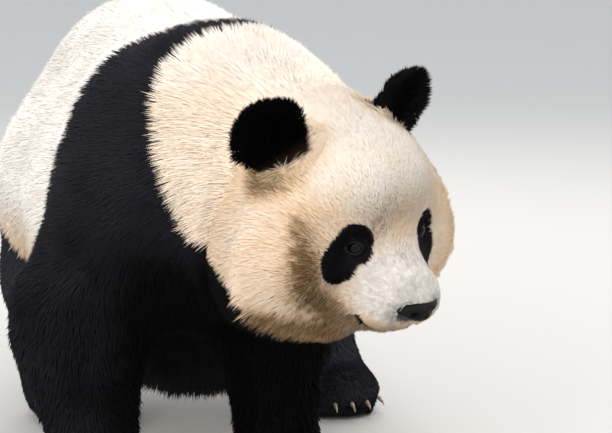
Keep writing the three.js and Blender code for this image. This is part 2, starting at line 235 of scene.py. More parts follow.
class Body:
    """Everything about a place on the animal that its coat depends on."""

    FORE = ("forepaw_left", "forepaw_right")
    HIND = ("hindpaw_left", "hindpaw_right")
    ELBOW_BACK = 0.055  # the leg stands this far behind the middle of its paw
    MUZZLE = np.array((0.0, -0.135, -0.070))
    # The dark patches: middle and radius of the upper end, then of the lower end.
    PATCHES = {
        LEFT: ((0.061, 0.022), 0.0240, (0.070, -0.016), 0.0240),
        RIGHT: ((0.071, 0.021), 0.0265, (0.096, -0.009), 0.0295),
    }
    SOCKET, SOCKET_RADIUS = (0.0655, 0.0070), 0.0200
    CHEEK_FOLD = ((0.144, -0.050, 0.043), (0.155, -0.059, 0.025), (0.162, -0.067, 0.009),
                  (0.160, -0.080, -0.008), (0.154, -0.090, -0.033), (0.143, -0.096, -0.053),
                  (0.111, -0.097, -0.080))
    NOSE_TIP = np.array((0.0, -0.205, -0.050))
    # The lip line of the animal's left side, from the middle to the mouth's corner.
    LIP = np.array(((0.0, -0.176, -0.094), (0.016, -0.166, -0.103), (0.034, -0.155, -0.106),
                    (0.049, -0.141, -0.104), (0.060, -0.133, -0.097), (0.068, -0.128, -0.087)))
    # The front and rear edges of the band over the shoulders: heights, and how far back each
    # lies there.
    BAND_FRONT = ((0.452, 0.461, 0.468, 0.479, 0.496, 0.562, 0.618, 0.679, 0.737, 0.775),
                  (-0.640, -0.562, -0.511, -0.466, -0.453, -0.425, -0.399, -0.363, -0.327, -0.312))
    BAND_REAR = ((0.300, 0.430, 0.560, 0.660, 0.730, 0.775),
                 (-0.120, -0.170, -0.190, -0.175, -0.200, -0.262))
    # Under the belly the black is drawn further back between the forelegs, as painted shade.
    BELLY_SHADE_REACH = 0.19
    # Under the back of the head the throat is black, partly the chest's black and partly painted
    # shade under the head: how far back, in the head's frame, and how low its edge lies there.
    THROAT = ((-0.040, -0.020, 0.000, 0.030, 0.060, 0.110, 0.150),
              (-0.180, -0.120, -0.094, -0.084, -0.082, -0.087, -0.090))
    # Down each cheek a brown painted shade lies along this line, from beside the eye to the mouth's
    # corner.
    CHEEK_SHADE = ((0.146, -0.060, 0.045), (0.150, -0.084, 0.010), (0.148, -0.094, -0.020),
             (0.138, -0.099, -0.052), (0.105, -0.107, -0.075), (0.086, -0.115, -0.088))

    def __init__(self) -> None:
        """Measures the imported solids."""
        self.head = HeadFrame()
        self.ears = [EarFrame(self.head, side) for side in (LEFT, RIGHT)]
        self.eyes = [EyeFrame(self.head, side) for side in (LEFT, RIGHT)]
        self.tail = middle("tail")
        self.hind_middle = sum(middle(n) for n in self.HIND) / 2

    def leg_reach(self, p: Points, paws: Sequence[str]) -> Points:
        """How far points lie, level, from the nearest of these legs' upright lines."""
        back = np.array((0.0, self.ELBOW_BACK))
        reach = [np.linalg.norm(p[:, :2] - middle(n)[:2] - back, axis=1) for n in paws]
        return np.min(reach, axis=0)

    def head_share(self, h: Points) -> Points:
        """1 on the head, 0 on the neck and chest."""
        return ease(h[:, 1], 0.150, 0.105) * ease(np.linalg.norm(h, axis=1), 0.29, 0.25)

    def ear_share(self, h: Points) -> Points:
        """1 on an ear, 0 off it."""
        shares = []
        for ear in self.ears:
            x, y, z = ear.inside(h).T
            limit = 0.96 + 0.42 * ease(z, -0.40, 0.15)
            share = ease(np.hypot(x, z) - limit, 0.06, -0.06) * ease(z, -0.72, -0.60)
            low = ease(z, 0.05, -0.30)
            level = ease(y, -0.95, -0.75) * ease(y, 1.35, 1.05)
            shares.append(share * (1.0 - low * (1.0 - level)) * ease(y, 2.2, 1.9))
        return np.maximum(*shares)

    def patch_share(self, h: Points) -> Points:
        """1 in the dark patch round an eye: a drop that leans out and down from it."""
        share = np.zeros(len(h))
        for side, (top, top_radius, foot, foot_radius) in self.PATCHES.items():
            q = np.column_stack((h[:, 0] * side, h[:, 2]))
            axis = np.subtract(foot, top)
            t = np.clip((q - top) @ axis / (axis @ axis), 0.0, 1.0)
            reach = np.linalg.norm(q - top - t[:, None] * axis, axis=1)
            reach -= top_radius + (foot_radius - top_radius) * t
            socket = np.linalg.norm(q - self.SOCKET, axis=1) - self.SOCKET_RADIUS
            share = np.maximum(share, ease(np.minimum(reach, socket), 0.003, -0.003))
        return share * ease(h[:, 1], -0.035, -0.055)

    def blackness(self, p: Points) -> Points:
        """The markings, with black also painted as shade under the belly and the head: 1 where the
        coat is black, 0 where it is white.

        Args:
            p: Points at the coat's tips, in the animal's frame.

        Returns:
            One number for each point.
        """
        h = self.head.inside(p)
        y, z = p[:, 1], p[:, 2]
        soft = 0.006
        far = 0.045 * ease(p[:, 0], -0.05, 0.03) * ease(z, 0.50, 0.62)
        front = np.interp(z, *self.BAND_FRONT) + far
        rear = np.interp(z, *self.BAND_REAR) + far
        # Painted shade: black under the belly between the forelegs.
        rear += self.BELLY_SHADE_REACH * ease(np.abs(p[:, 0]), 0.17, 0.11) * ease(z, 0.40, 0.36)
        band = ease(y - front, -soft, soft) * ease(y - rear, soft, -soft)
        reach = 0.152 + 0.06 * ease(z, 0.16, 0.12)
        foreleg = ease(self.leg_reach(p, self.FORE) - reach, 0.0, -0.012) * ease(z, 0.36, 0.32)
        thigh_top = 0.335 + 0.22 * (y - self.hind_middle[1])
        hind = ease(z - thigh_top, soft, -soft) * ease(self.leg_reach(p, self.HIND), 0.215, 0.200)
        hind *= np.maximum(ease(y, self.hind_middle[1] - 0.14, self.hind_middle[1] - 0.11),
                           ease(z, 0.20, 0.16))
        dark = np.maximum.reduce((band, foreleg, hind)) * (1.0 - self.head_share(h))
        # Black under the back of the head: the chest's black seen there, and painted shade under
        # the head.
        throat = ease(h[:, 2] - np.interp(h[:, 1], *self.THROAT), soft, -soft)
        throat *= ease(h[:, 1], -0.045, -0.035) * ease(self.head_share(h), 0.0, 0.08)
        line = ease(self.beside(h, self.LIP, 0.0050), 0.45, 0.75)
        corner = ease(self.beside(h, self.LIP[3:], 0.0075), 0.30, 0.50)
        marks = (line, corner, self.patch_share(h), self.ear_share(h))
        return np.maximum.reduce((dark, throat, *marks))

    def crease(self, h: Points) -> Points:
        """1 where a cheek meets the neck, 0 away from it."""
        around = ease(h[:, 2], 0.075, 0.02) * self.head_share(h)
        return np.exp(-(((h[:, 1] - 0.114) / 0.015) ** 2)) * around

    @staticmethod
    def beside(h: Points, line: Any, radius: Any) -> Points:
        """1 along a line on each side of the head, 0 at more than about twice the radius.

        Args:
            h: Points in the head's frame.
            line: The line's corners on the left side.
            radius: One radius, or one for each point.

        Returns:
            One number for each point.
        """
        q = np.column_stack((np.abs(h[:, 0]), h[:, 1:]))
        share = np.zeros(len(h))
        for a, b in itertools.pairwise(np.array(line)):
            t = np.clip((q - a) @ (b - a) / ((b - a) @ (b - a)), 0.0, 1.0)
            reach = np.linalg.norm(q - a - t[:, None] * (b - a), axis=1)
            share = np.maximum(share, np.exp(-((reach / radius) ** 2)))
        return share

    def cheek_fold(self, h: Points) -> Points:
        """1 along the soft fold down each cheek, where the coat parts, 0 away from it."""
        rough = np.clip(0.65 + 0.7 * wander(h, 0.014, 13), 0.0, 1.0)
        return self.beside(h, self.CHEEK_FOLD, 0.009) * rough

    def pad_reach(self, h: Points) -> Points:
        """How far points lie from the nose pad's middle, 1 at its edge."""
        half = np.array((0.0405, 0.026, 0.0145))
        q = np.abs((h - (0.0, -0.176, -0.0635)) / half)
        return np.sum(q**3, axis=1) ** (1 / 3)

    def depth_and_shade(self, p: Points) -> Points:
        """How dark the black coat is: deepest on the ears and patches, its own black, with painted
        light and shade elsewhere.
        """
        h = self.head.inside(p)
        chest, ahead = ease(p[:, 1], 0.05, -0.42), ease(p[:, 1], 0.30, -0.14)
        low = ease(p[:, 2], 0.62, 0.30)
        inner = ease(np.abs(p[:, 0]), 0.30, 0.16) * ease(p[:, 2], 0.50, 0.40)
        # Painted light and shade: lighter towards the hind parts, darker on the chest, low down and
        # on the inner legs.
        shade = 0.05 + 0.36 * ahead + 0.16 * chest + 0.32 * chest * low + 0.25 * inner
        marks = np.maximum(self.ear_share(h), 0.80 * self.patch_share(h))
        return np.clip(np.maximum(marks, shade + 0.10 * wander(p, 0.05, 14)), 0.0, 1.0)

    def greyness(self, p: Points) -> Points:
        """How grey the white coat is on the muzzle, and how rusty the black one at the ears."""
        h = self.head.inside(p)
        muzzle = ease(np.linalg.norm(h - self.MUZZLE, axis=1), 0.110, 0.070)
        speckle = 0.32 + 0.30 * wander(h, 0.0035, 15) + 0.15 * wander(h, 0.012, 16)
        speckle = np.clip(speckle, 0.0, 1.0)
        pad = ease(self.pad_reach(h), 1.60, 1.0)
        left, right = (ease(e.inside(h)[:, 2], -0.30, -0.75) for e in self.ears)
        foot = np.where(h[:, 0] > 0, left, right) * self.ear_share(h)
        return np.clip(muzzle * speckle + 0.55 * pad, 0.0, 1.0) + foot

    def face_warmth(self, h: Points) -> Points:
        """How warm or brown the coat of the head is, as in `warmth`: its own tints and painted
        shade.

        Args:
            h: Points in the head's frame.

        Returns:
            One number for each point.
        """
        brow = np.exp(-((h[:, 0] / 0.030) ** 2) - ((h[:, 2] - 0.062) / 0.045) ** 2)
        temple = (np.abs(h[:, 0]) - 0.10) / 0.05
        temple = np.exp(-(temple**2) - ((h[:, 2] - 0.052) / 0.030) ** 2)
        front = ease(h[:, 1], -0.05, -0.12)
        muzzle = ease(np.linalg.norm(h - self.MUZZLE, axis=1), 0.105, 0.060)
        jaw = ease(h[:, 2], -0.078, -0.120) * ease(h[:, 1], 0.02, -0.05)
        crown = ease(h[:, 2], 0.03, 0.12)
        face = 0.72 + 0.15 * ease(h[:, 1], 0.0, 0.09) - 0.36 * crown - 0.22 * front
        face += 0.40 * brow * front + 0.30 * temple
        # Painted shade, brown, under the jaw and on the underside of the muzzle.
        face = face * (1.0 - muzzle) + 0.10 * muzzle + 1.40 * jaw
        face += 0.9 * muzzle * ease(h[:, 2], -0.066, -0.090)
        ragged = 1.0 + 0.34 * wander(h, 0.008, 17) + 0.26 * wander(h, 0.020, 18)
        # Painted shade, brown, down each cheek's fold, ragged at its edge and fainter on the
        # muzzle.
        cheek_shade = self.beside(h, self.CHEEK_SHADE, 0.027 * ragged)
        cheek_shade *= (1.0 - 0.6 * muzzle) * (1.0 - 0.6 * ease(h[:, 0], -0.02, 0.02))
        face += cheek_shade * (0.50 + 1.0 * ease(h[:, 2], 0.055, -0.005))
        for ear in self.ears:
            q = ear.inside(h)
            reach = np.linalg.norm(q * (1.0, 0.62, 1.0), axis=1)
            face += 0.35 * ease(reach, 1.75, 1.10)
            face += 0.65 * ease(reach, 1.75, 1.15) * ease(q[:, 2], -0.55, -1.0)
        # Painted shade, tan, along the fold down each cheek and in the crease where the cheek meets
        # the neck.
        return face + 0.40 * self.cheek_fold(h) + 0.25 * self.crease(h)

    def warmth(self, p: Points) -> Points:
        """How warm the coat is, from its own tints and from painted shade: to 1 towards tan, from
        there to 2 towards brown.

        Args:
            p: Points in the animal's frame.

        Returns:
            One number for each point.
        """
        h = self.head.inside(p)
        y, z = p[:, 1], p[:, 2]
        head = self.head_share(h)
        neck = (1.0 - head) * ease(y, -0.22, -0.32)
        crest = ease(z, 0.64, 0.76)
        # Warmer towards the bottom of the trunk.
        belly = (1.0 - head) * ease(z, 0.42, 0.30)
        # Painted shade, dark brown, under the belly between the forelegs.
        shaded = (1.0 - head) * ease(z, 0.46, 0.36) * ease(y, 0.10, -0.10)
        shaded *= ease(np.abs(p[:, 0]), 0.26, 0.16)
        base = 0.10 + neck * (0.50 - 0.28 * crest) + 1.05 * belly
        base = base * (1.0 - head) + self.face_warmth(h) * head
        base = base + 0.10 * wander(p, 0.055, 11) + 0.08 * wander(p, 0.016, 12) + 1.6 * shaded
        return np.clip(base, 0.0, 2.0)


@dataclass(frozen=True)
class Growth:
    """How the coat grows in one zone.

    Attributes:
        depth: From the skin to the coat's tips.
        length: Of a tuft, along its curve.
        width: Of a tuft at its widest.
        cover: How many tufts lie over each other.
    """

    depth: float
    length: float
    width: float
    cover: float


class Zone(Enum):
    """The coat's zones, from the trunk to the ones painted over it."""

    TRUNK = Growth(0.014, 0.040, 0.0018, 4.4)
    NECK = Growth(0.0125, 0.040, 0.0012, 7.2)
    BELLY = Growth(0.022, 0.048, 0.0023, 3.6)
    LEG = Growth(0.013, 0.028, 0.0020, 3.4)
    PAW = Growth(0.007, 0.015, 0.0016, 3.4)
    TAIL = Growth(0.015, 0.034, 0.0019, 4.6)
    CHEEK = Growth(0.0095, 0.030, 0.0010, 6.8)
    RUFF = Growth(0.0155, 0.036, 0.0011, 7.0)
    CROWN = Growth(0.0078, 0.020, 0.0010, 6.6)
    FACE = Growth(0.0058, 0.0130, 0.0009, 6.0)
    MUZZLE = Growth(0.0034, 0.0080, 0.0008, 5.0)
    CHIN = Growth(0.0070, 0.0150, 0.0010, 6.0)
    PATCH = Growth(0.0045, 0.0100, 0.0010, 5.0)
    EAR = Growth(0.0100, 0.0200, 0.0010, 6.0)
    SOLE = Growth(0.0000, 0.0080, 0.0020, 0.0)


class CoatMap:
    """Zone by zone, how the coat grows and which way it lies."""

    def __init__(self, body: Body) -> None:
        """Keeps the body it belongs to."""
        self.body = body

    def shares(self, p: Points, n: Points) -> dict[Zone, Points]:
        """How much each zone has of each place; together 1.

        Args:
            p: The places.
            n: The skin's unit normals there.

        Returns:
            For each zone, one number for each place.
        """
        b = self.body
        h = b.head.inside(p)
        y, z = p[:, 1], p[:, 2]
        head = b.head_share(h)
        leg = self._leg(p)
        tail = ease(np.linalg.norm((p - b.tail) / (0.075, 0.055, 0.105), axis=1), 1.15, 0.95)
        painted = (
            (Zone.NECK, ease(y, -0.22, -0.34) * ease(z, 0.36, 0.46)),
            (Zone.BELLY,
             ease(n[:, 2], -0.35, -0.75) * ease(y, -0.20, -0.12) * ease(z, 0.12, 0.16)),
            (Zone.LEG, ease(z, 0.42, 0.32) * ease(leg, 0.170, 0.140)),
            (Zone.PAW, ease(z, 0.125, 0.080)),
            (Zone.TAIL, tail),
            (Zone.CHEEK, head),
            (Zone.RUFF, head * np.maximum(
                ease(h[:, 1], -0.020, 0.035) * ease(h[:, 2], 0.03, -0.02),
                ease(n[:, 2], -0.25, -0.60) * ease(h[:, 1], -0.12, -0.09))),
            (Zone.CROWN, head * ease(h[:, 2], 0.015, 0.085)),
            (Zone.FACE, head * ease(h[:, 1], -0.040, -0.085)),
            (Zone.MUZZLE, head * ease(np.linalg.norm(h - b.MUZZLE, axis=1), 0.088, 0.058)),
            (Zone.CHIN, head * ease(h[:, 1], -0.060, -0.090) * ease(h[:, 2], -0.092, -0.104)),
            (Zone.PATCH, b.patch_share(h)),
            (Zone.EAR, b.ear_share(h)),
            (Zone.SOLE, ease(z, 0.010, 0.004) * ease(n[:, 2], -0.3, -0.7)),
        )
        left = {Zone.TRUNK: np.ones(len(p))}
        for zone, share in painted:
            left = {other: held * (1.0 - share) for other, held in left.items()}
            left[zone] = share
        return left

    def _leg(self, p: Points) -> Points:
        """How far points lie from the nearest leg; a hind leg is the thicker one."""
        b = self.body
        return np.minimum(b.leg_reach(p, b.FORE), b.leg_reach(p, b.HIND) * 0.85)

    def growth(self, p: Points, n: Points) -> dict[str, Points]:
        """The blended depth, length, width and cover at each place."""
        shares = self.shares(p, n)
        names = ("depth", "length", "width", "cover")
        return {k: sum(s * getattr(zone.value, k) for zone, s in shares.items()) for k in names}

    def lie(self, p: Points, n: Points) -> Points:
        """The way the hair lies, as unit rows along the skin.

        Args:
            p: The places.
            n: The skin's unit normals there.

        Returns:
            One direction for each place.
        """
        b = self.body
        h = b.head.inside(p)
        z = p[:, 2]
        flow = np.tile((0.0, 1.0, -0.42), (len(p), 1))
        front = ease(p[:, 1], -0.30, -0.44) * ease(z, 0.50, 0.40)
        flow = self._toward(flow, (0.0, 0.25, -1.0), front)
        leg = self._leg(p)
        flow = self._toward(flow, (0.0, 0.22, -1.0), ease(z, 0.46, 0.34) * ease(leg, 0.20, 0.15))
        flow = self._toward(flow, (0.0, -1.0, -0.35), ease(z, 0.115, 0.06))
        dock = ease(p[:, 1], b.tail[1] - 0.06, b.tail[1] - 0.01)
        flow = self._toward(flow, (0.0, 0.3, -1.0), dock)

        fan = unit(h - b.NOSE_TIP)
        cheek = ease(h[:, 1], -0.09, 0.0) * ease(h[:, 2], 0.07, -0.03)
        fan += cheek[:, None] * np.array((0.0, 0.30, -0.75))
        flow = self._toward(flow, unit(fan) @ b.head.turn.T, b.head_share(h))
        for ear in b.ears:
            q = ear.inside(h)
            spread = unit(q * (1.0, 0.35, 1.0) + (0.0, 0.0, 1.05)) @ (b.head.turn @ ear.turn()).T
            on = ease(np.linalg.norm(q * (1.0, 0.62, 1.0), axis=1), 1.32, 1.15)
            flow = self._toward(flow, spread, on * ease(q[:, 2], -1.05, -0.80))
        for eye in b.eyes:
            e = eye.inside(p)
            reach = np.linalg.norm(e[:, :2], axis=1)
            away = unit(np.column_stack((e[:, 0], e[:, 1], np.zeros(len(p))))) @ eye.turn.T
            near = ease(reach, 0.026, 0.013) * ease(e[:, 2], -0.01, 0.0)
            flow = self._toward(flow, away, near)
        swirl = 0.26 * wander(p, 0.050, 21)
        flow = along(flow, n)
        return along(flow + np.cross(n, flow) * swirl[:, None], n)

    @staticmethod
    def _toward(flow: Points, other: Any, share: Points) -> Points:
        """The flow turned towards another direction, by a share at each place."""
        return flow + (np.asarray(other) - flow) * share[:, None]


# ---------------------------------------------------------------- materials


class Wire:
    """A value or colour on its way through a material's nodes."""

    def __init__(self, finish: "Recipe", socket: Any) -> None:
        """Keeps the socket and the recipe that it belongs to."""
        self.finish = finish
        self.socket = socket

    def _maths(self, operation: str, *values: Any) -> "Wire":
        """The outcome of a Math node on these values."""
        inputs = dict(enumerate(values))
        return self.finish.node("ShaderNodeMath", {"operation": operation}, inputs)

    def __add__(self, other: Any) -> "Wire":
        """The sum."""
        return self._maths("ADD", self, other)

    __radd__ = __add__

    def __mul__(self, other: Any) -> "Wire":
        """The product."""
        return self._maths("MULTIPLY", self, other)

    __rmul__ = __mul__

    def __sub__(self, other: Any) -> "Wire":
        """The difference."""
        return self._maths("SUBTRACT", self, other)

    def __rsub__(self, other: Any) -> "Wire":
        """The difference, the other way round."""
        return self._maths("SUBTRACT", other, self)

    def ramp(self, start: float, end: float) -> "Wire":
        """Runs smoothly from 0 at `start` to 1 at `end`."""
        settings = {"interpolation_type": "SMOOTHSTEP"}
        inputs = {"Value": self, "From Min": start, "From Max": end}
        return self.finish.node("ShaderNodeMapRange", settings, inputs)


class Recipe:
    """A material and the nodes it is made of."""

    def __init__(self, name: str) -> None:
        """Starts a material that holds one Principled shader."""
        self.material = bpy.data.materials.new(name)
        self.material.use_nodes = True
        self.tree = self.material.node_tree
        self.shader = next(n for n in self.tree.nodes if n.type == "BSDF_PRINCIPLED")

    def node(self, kind: str, settings: dict[str, Any], inputs: dict[Any, Any],
             out: Any = 0) -> Wire:
        """Adds a node.

        Args:
            kind: The node's type.
            settings: Its own settings, set first.
            inputs: Values or wires for its sockets, by name or number.
            out: Which of its outputs is wanted.

        Returns:
            The output, as a wire.
        """
        made = self.tree.nodes.new(kind)
        for name, value in settings.items():
            setattr(made, name, value)
        for name, value in inputs.items():
            self._give(made.inputs[name], value)
        return Wire(self, made.outputs[out])

    def _give(self, socket: Any, value: Any) -> None:
        """Links a wire to a socket, or sets the socket's own value."""
        if isinstance(value, Wire):
            self.tree.links.new(value.socket, socket)
        else:
            socket.default_value = value

    def set(self, **values: Any) -> "Recipe":
        """Sets or links the shader's sockets, named with _ for a space."""
        for name, value in values.items():
            self._give(self.shader.inputs[name.replace("_", " ")], value)
        return self

    def attribute(self, name: str) -> Wire:
        """A number that the piece holds at each of its points."""
        return self.node("ShaderNodeAttribute", {"attribute_name": name}, {}, "Fac")

    def place(self) -> Wire:
        """Where a point is on the piece, in metres."""
        return self.node("ShaderNodeTexCoord", {}, {}, "Object")

    def noise(self, scale: float, detail: float = 2.0, squash: Sequence[float] = (1, 1, 1)) -> Wire:
        """Noise with `scale` features to a metre, squashed along the axes."""
        where = self.node("ShaderNodeMapping", {}, {"Vector": self.place(), "Scale": squash})
        inputs = {"Vector": where, "Scale": scale, "Detail": detail}
        return self.node("ShaderNodeTexNoise", {}, inputs, "Fac")

    def mix(self, share: Any, a: Any, b: Any) -> Wire:
        """A colour between a and b."""
        made = self.tree.nodes.new("ShaderNodeMix")
        made.data_type = "RGBA"
        for socket, value in ((made.inputs[0], share), (made.inputs[6], a), (made.inputs[7], b)):
            self._give(socket, value)
        return Wire(self, made.outputs[2])

    def bump(self, height: Wire, depth: float) -> Wire:
        """A normal that follows a height, `depth` metres high."""
        inputs = {"Height": height, "Distance": depth, "Strength": 1.0}
        return self.node("ShaderNodeBump", {}, inputs)


Colour = tuple[float, float, float, float]


@dataclass(frozen=True)
class PeltFinish:
    """The colours of the coat, which the skin under it shares."""

    cream: Colour = (0.93, 0.89, 0.83, 1.0)
    tan: Colour = (0.84, 0.61, 0.40, 1.0)
    brown: Colour = (0.160, 0.083, 0.022, 1.0)
    grey: Colour = (0.30, 0.27, 0.26, 1.0)
    cold_black: Colour = (0.0290, 0.0295, 0.0400, 1.0)
    brown_black: Colour = (0.0420, 0.0370, 0.0440, 1.0)
    deep_black: Colour = (0.0006, 0.0006, 0.0008, 1.0)
    skin: Colour = (0.022, 0.020, 0.022, 1.0)

    def white(self, r: Recipe) -> Wire:
        """The white coat's colour."""
        warm = r.attribute("warm") * (0.74 + r.attribute("tint") * 0.52)
        base = r.mix(warm.ramp(-0.15, 1.15), self.cream, self.tan)
        base = r.mix(warm.ramp(0.85, 2.05), base, self.brown)
        base = r.mix(r.attribute("grey") * (0.55 + r.attribute("tint") * 0.5), base, self.grey)
        shade = (1.0 - r.attribute("rise")) * 0.12
        return r.mix(shade, base, self.tan)

    def black(self, r: Recipe) -> Wire:
        """The black coat's colour."""
        share = r.noise(9.0) * 0.9 + (r.attribute("tint") - 0.5) * 0.7
        base = r.mix(share.ramp(0.15, 0.95), self.cold_black, self.brown_black)
        # deep carries the ears' and patches' deeper black and painted light and shade over the
        # rest.
        base = r.mix(r.attribute("deep"), base, self.deep_black)
        return r.mix(r.attribute("grey") * r.attribute("tint") * 0.30, base, self.brown)

    def dress_white(self) -> bpy.types.Material:
        """The material of the white tufts."""
        r = Recipe("white_pelt")
        r.set(Base_Color=self.white(r), Roughness=0.62 + r.noise(700.0) * 0.25)
        r.set(Sheen_Weight=0.06, Sheen_Roughness=0.45, Specular_IOR_Level=0.16)
        return r.material

    def dress_black(self) -> bpy.types.Material:
        """The material of the black tufts."""
        r = Recipe("black_pelt")
        r.set(Base_Color=self.black(r), Roughness=0.52 + r.noise(700.0) * 0.25)
        r.set(Specular_IOR_Level=0.06)
        return r.material

    def dress_skin(self) -> bpy.types.Material:
        """The skin's material: the same markings, with bare dark skin at the lids and lips."""
        r = Recipe("skin")
        marked = r.mix(r.attribute("black"), self.white(r), self.black(r))
        bare = r.attribute("bare")
        r.set(Base_Color=r.mix(bare, marked, self.skin), Roughness=0.85 - bare * 0.42)
        r.set(Specular_IOR_Level=0.25)
        r.set(Normal=r.bump(r.noise(900.0, 3.0), 0.0006))
        return r.material


@dataclass(frozen=True)
class EyeFinish:
    """A wet dark brown eye with a black pupil."""

    iris: Colour = (0.0060, 0.0032, 0.0024, 1.0)
    edge: Colour = (0.004, 0.003, 0.003, 1.0)
    pupil: Colour = (0.001, 0.001, 0.001, 1.0)
    white: Colour = (0.022, 0.016, 0.015, 1.0)

    def dress(self) -> bpy.types.Material:
        """The eyeball's material, which reads how far a point is from the pupil's middle."""
        r = Recipe("eye")
        out = r.attribute("out") + (r.noise(900.0) - 0.5) * 0.06
        iris = r.mix(out.ramp(0.45, 0.86), self.iris, self.edge)
        ball = r.mix(out.ramp(0.86, 0.98), iris, self.white)
        r.set(Base_Color=r.mix(out.ramp(0.24, 0.31), self.pupil, ball), Roughness=0.08)
        r.set(Coat_Weight=0.22, Coat_Roughness=0.02, Specular_IOR_Level=0.05)
        return r.material


@dataclass(frozen=True)
class NoseFinish:
    """Moist black leather, pebbled."""

    black: Colour = (0.0040, 0.0036, 0.0040, 1.0)
    worn: Colour = (0.014, 0.012, 0.012, 1.0)

    def dress(self) -> bpy.types.Material:
        """The nose pad's material."""
        r = Recipe("nose_leather")
        where = {"Vector": r.place(), "Scale": 620.0}
        cells = r.node("ShaderNodeTexVoronoi", {"feature": "F1"}, where, "Distance")
        height = (1.0 - cells.ramp(0.0, 0.75)) + r.noise(240.0) * 0.6
        r.set(Base_Color=r.mix((height * 0.5).ramp(0.2, 0.9), self.black, self.worn))
        r.set(Roughness=0.36 + cells * 0.3, Normal=r.bump(height, 0.0004), Specular_IOR_Level=0.10)
        return r.material


@dataclass(frozen=True)
class ClawFinish:
    """Worn horn, ivory streaked with darker horn."""

    horn: Colour = (0.50, 0.42, 0.32, 1.0)
    dark: Colour = (0.16, 0.12, 0.09, 1.0)

    def dress(self) -> bpy.types.Material:
        """The claws' material."""
        r = Recipe("claw_horn")
        streaks = r.noise(260.0, 3.0, (1.0, 0.15, 1.0))
        r.set(Base_Color=r.mix(streaks.ramp(0.35, 0.75), self.horn, self.dark))
        r.set(Roughness=0.30 + streaks * 0.25, Normal=r.bump(streaks, 0.0003))
        return r.material


# ---------------------------------------------------------------- meshes and arrays


def get_points(mesh: bpy.types.Mesh, name: str = "co") -> Points:
    """The places or normals of a mesh's points."""
    values = np.empty(len(mesh.vertices) * 3, np.float32)
    mesh.vertices.foreach_get(name, values)
    return values.reshape(-1, 3).astype(float)


def set_points(mesh: bpy.types.Mesh, places: Points) -> None:
    """Moves a mesh's points."""
    mesh.vertices.foreach_set("co", places.astype(np.float32).ravel())
    mesh.update()


def hold(mesh: bpy.types.Mesh, name: str, values: Points) -> None:
    """Gives a mesh one number at each of its points."""
    found = mesh.attributes.get(name) or mesh.attributes.new(name, "FLOAT", "POINT")
    found.data.foreach_set("value", values.astype(np.float32))


def placed(name: str, data: Any) -> bpy.types.Object:
    """A new object in the scene."""
    made = bpy.data.objects.new(name, data)
    bpy.context.scene.collection.objects.link(made)
    return made


def finished(bm: bmesh.types.BMesh, name: str) -> bpy.types.Mesh:
    """A new mesh of a bmesh, which is let go."""
    mesh = bpy.data.meshes.new(name)
    bm.to_mesh(mesh)
    bm.free()
    return mesh


def soften(mesh: bpy.types.Mesh) -> None:
    """Shades a mesh smoothly."""
    mesh.polygons.foreach_set("use_smooth", np.ones(len(mesh.polygons), bool))


def put(name: str, mesh: bpy.types.Mesh,
        material: bpy.types.Material) -> bpy.types.Object:
    """Adds a piece that rides on the body.

    Args:
        name: The piece's name.
        mesh: Its mesh, in the animal's frame.
        material: Its material.

    Returns:
        The piece.
    """
    piece = placed(name, mesh)
    mesh.materials.append(material)
    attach(piece, "root")
    log.info("%s: %d faces", name, len(mesh.polygons))
    return piece


def settled(mesh: bpy.types.Mesh, **modifiers: dict[str, Any]) -> bpy.types.Mesh:
    """A mesh with modifiers applied.

    Args:
        mesh: The mesh, which is left as it is.
        modifiers: Each modifier's settings, by its type.

    Returns:
        The new mesh.
    """
    holder = placed("holder", mesh)
    for kind, settings in modifiers.items():
        made = holder.modifiers.new(kind, kind)
        for name, value in settings.items():
            setattr(made, name, value)
    graph = bpy.context.evaluated_depsgraph_get()
    result = bpy.data.meshes.new_from_object(holder.evaluated_get(graph))
    bpy.data.objects.remove(holder)
    return result


def evened(mesh: bpy.types.Mesh, values: Points, rounds: int) -> Points:
    """Values at a mesh's points, each drawn halfway to its neighbours' mean, `rounds` times.

    Args:
        mesh: The mesh whose edges join the points.
        values: One row for each point.
        rounds: How many times it is done.

    Returns:
        The evened values.
    """
    ends = np.empty(len(mesh.edges) * 2, np.int32)
    mesh.edges.foreach_get("vertices", ends)
    a, b = ends.reshape(-1, 2).T
    here, there = np.concatenate((a, b)), np.concatenate((b, a))
    count = len(values)
    held = np.maximum(np.bincount(here, minlength=count), 1)
    values = np.array(values, float)
    for _ in range(rounds):
        for k in range(values.shape[1]):
            mean = np.bincount(here, values[there, k], count) / held
            values[:, k] = (values[:, k] + mean) / 2
    return values


# ---------------------------------------------------------------- the skin


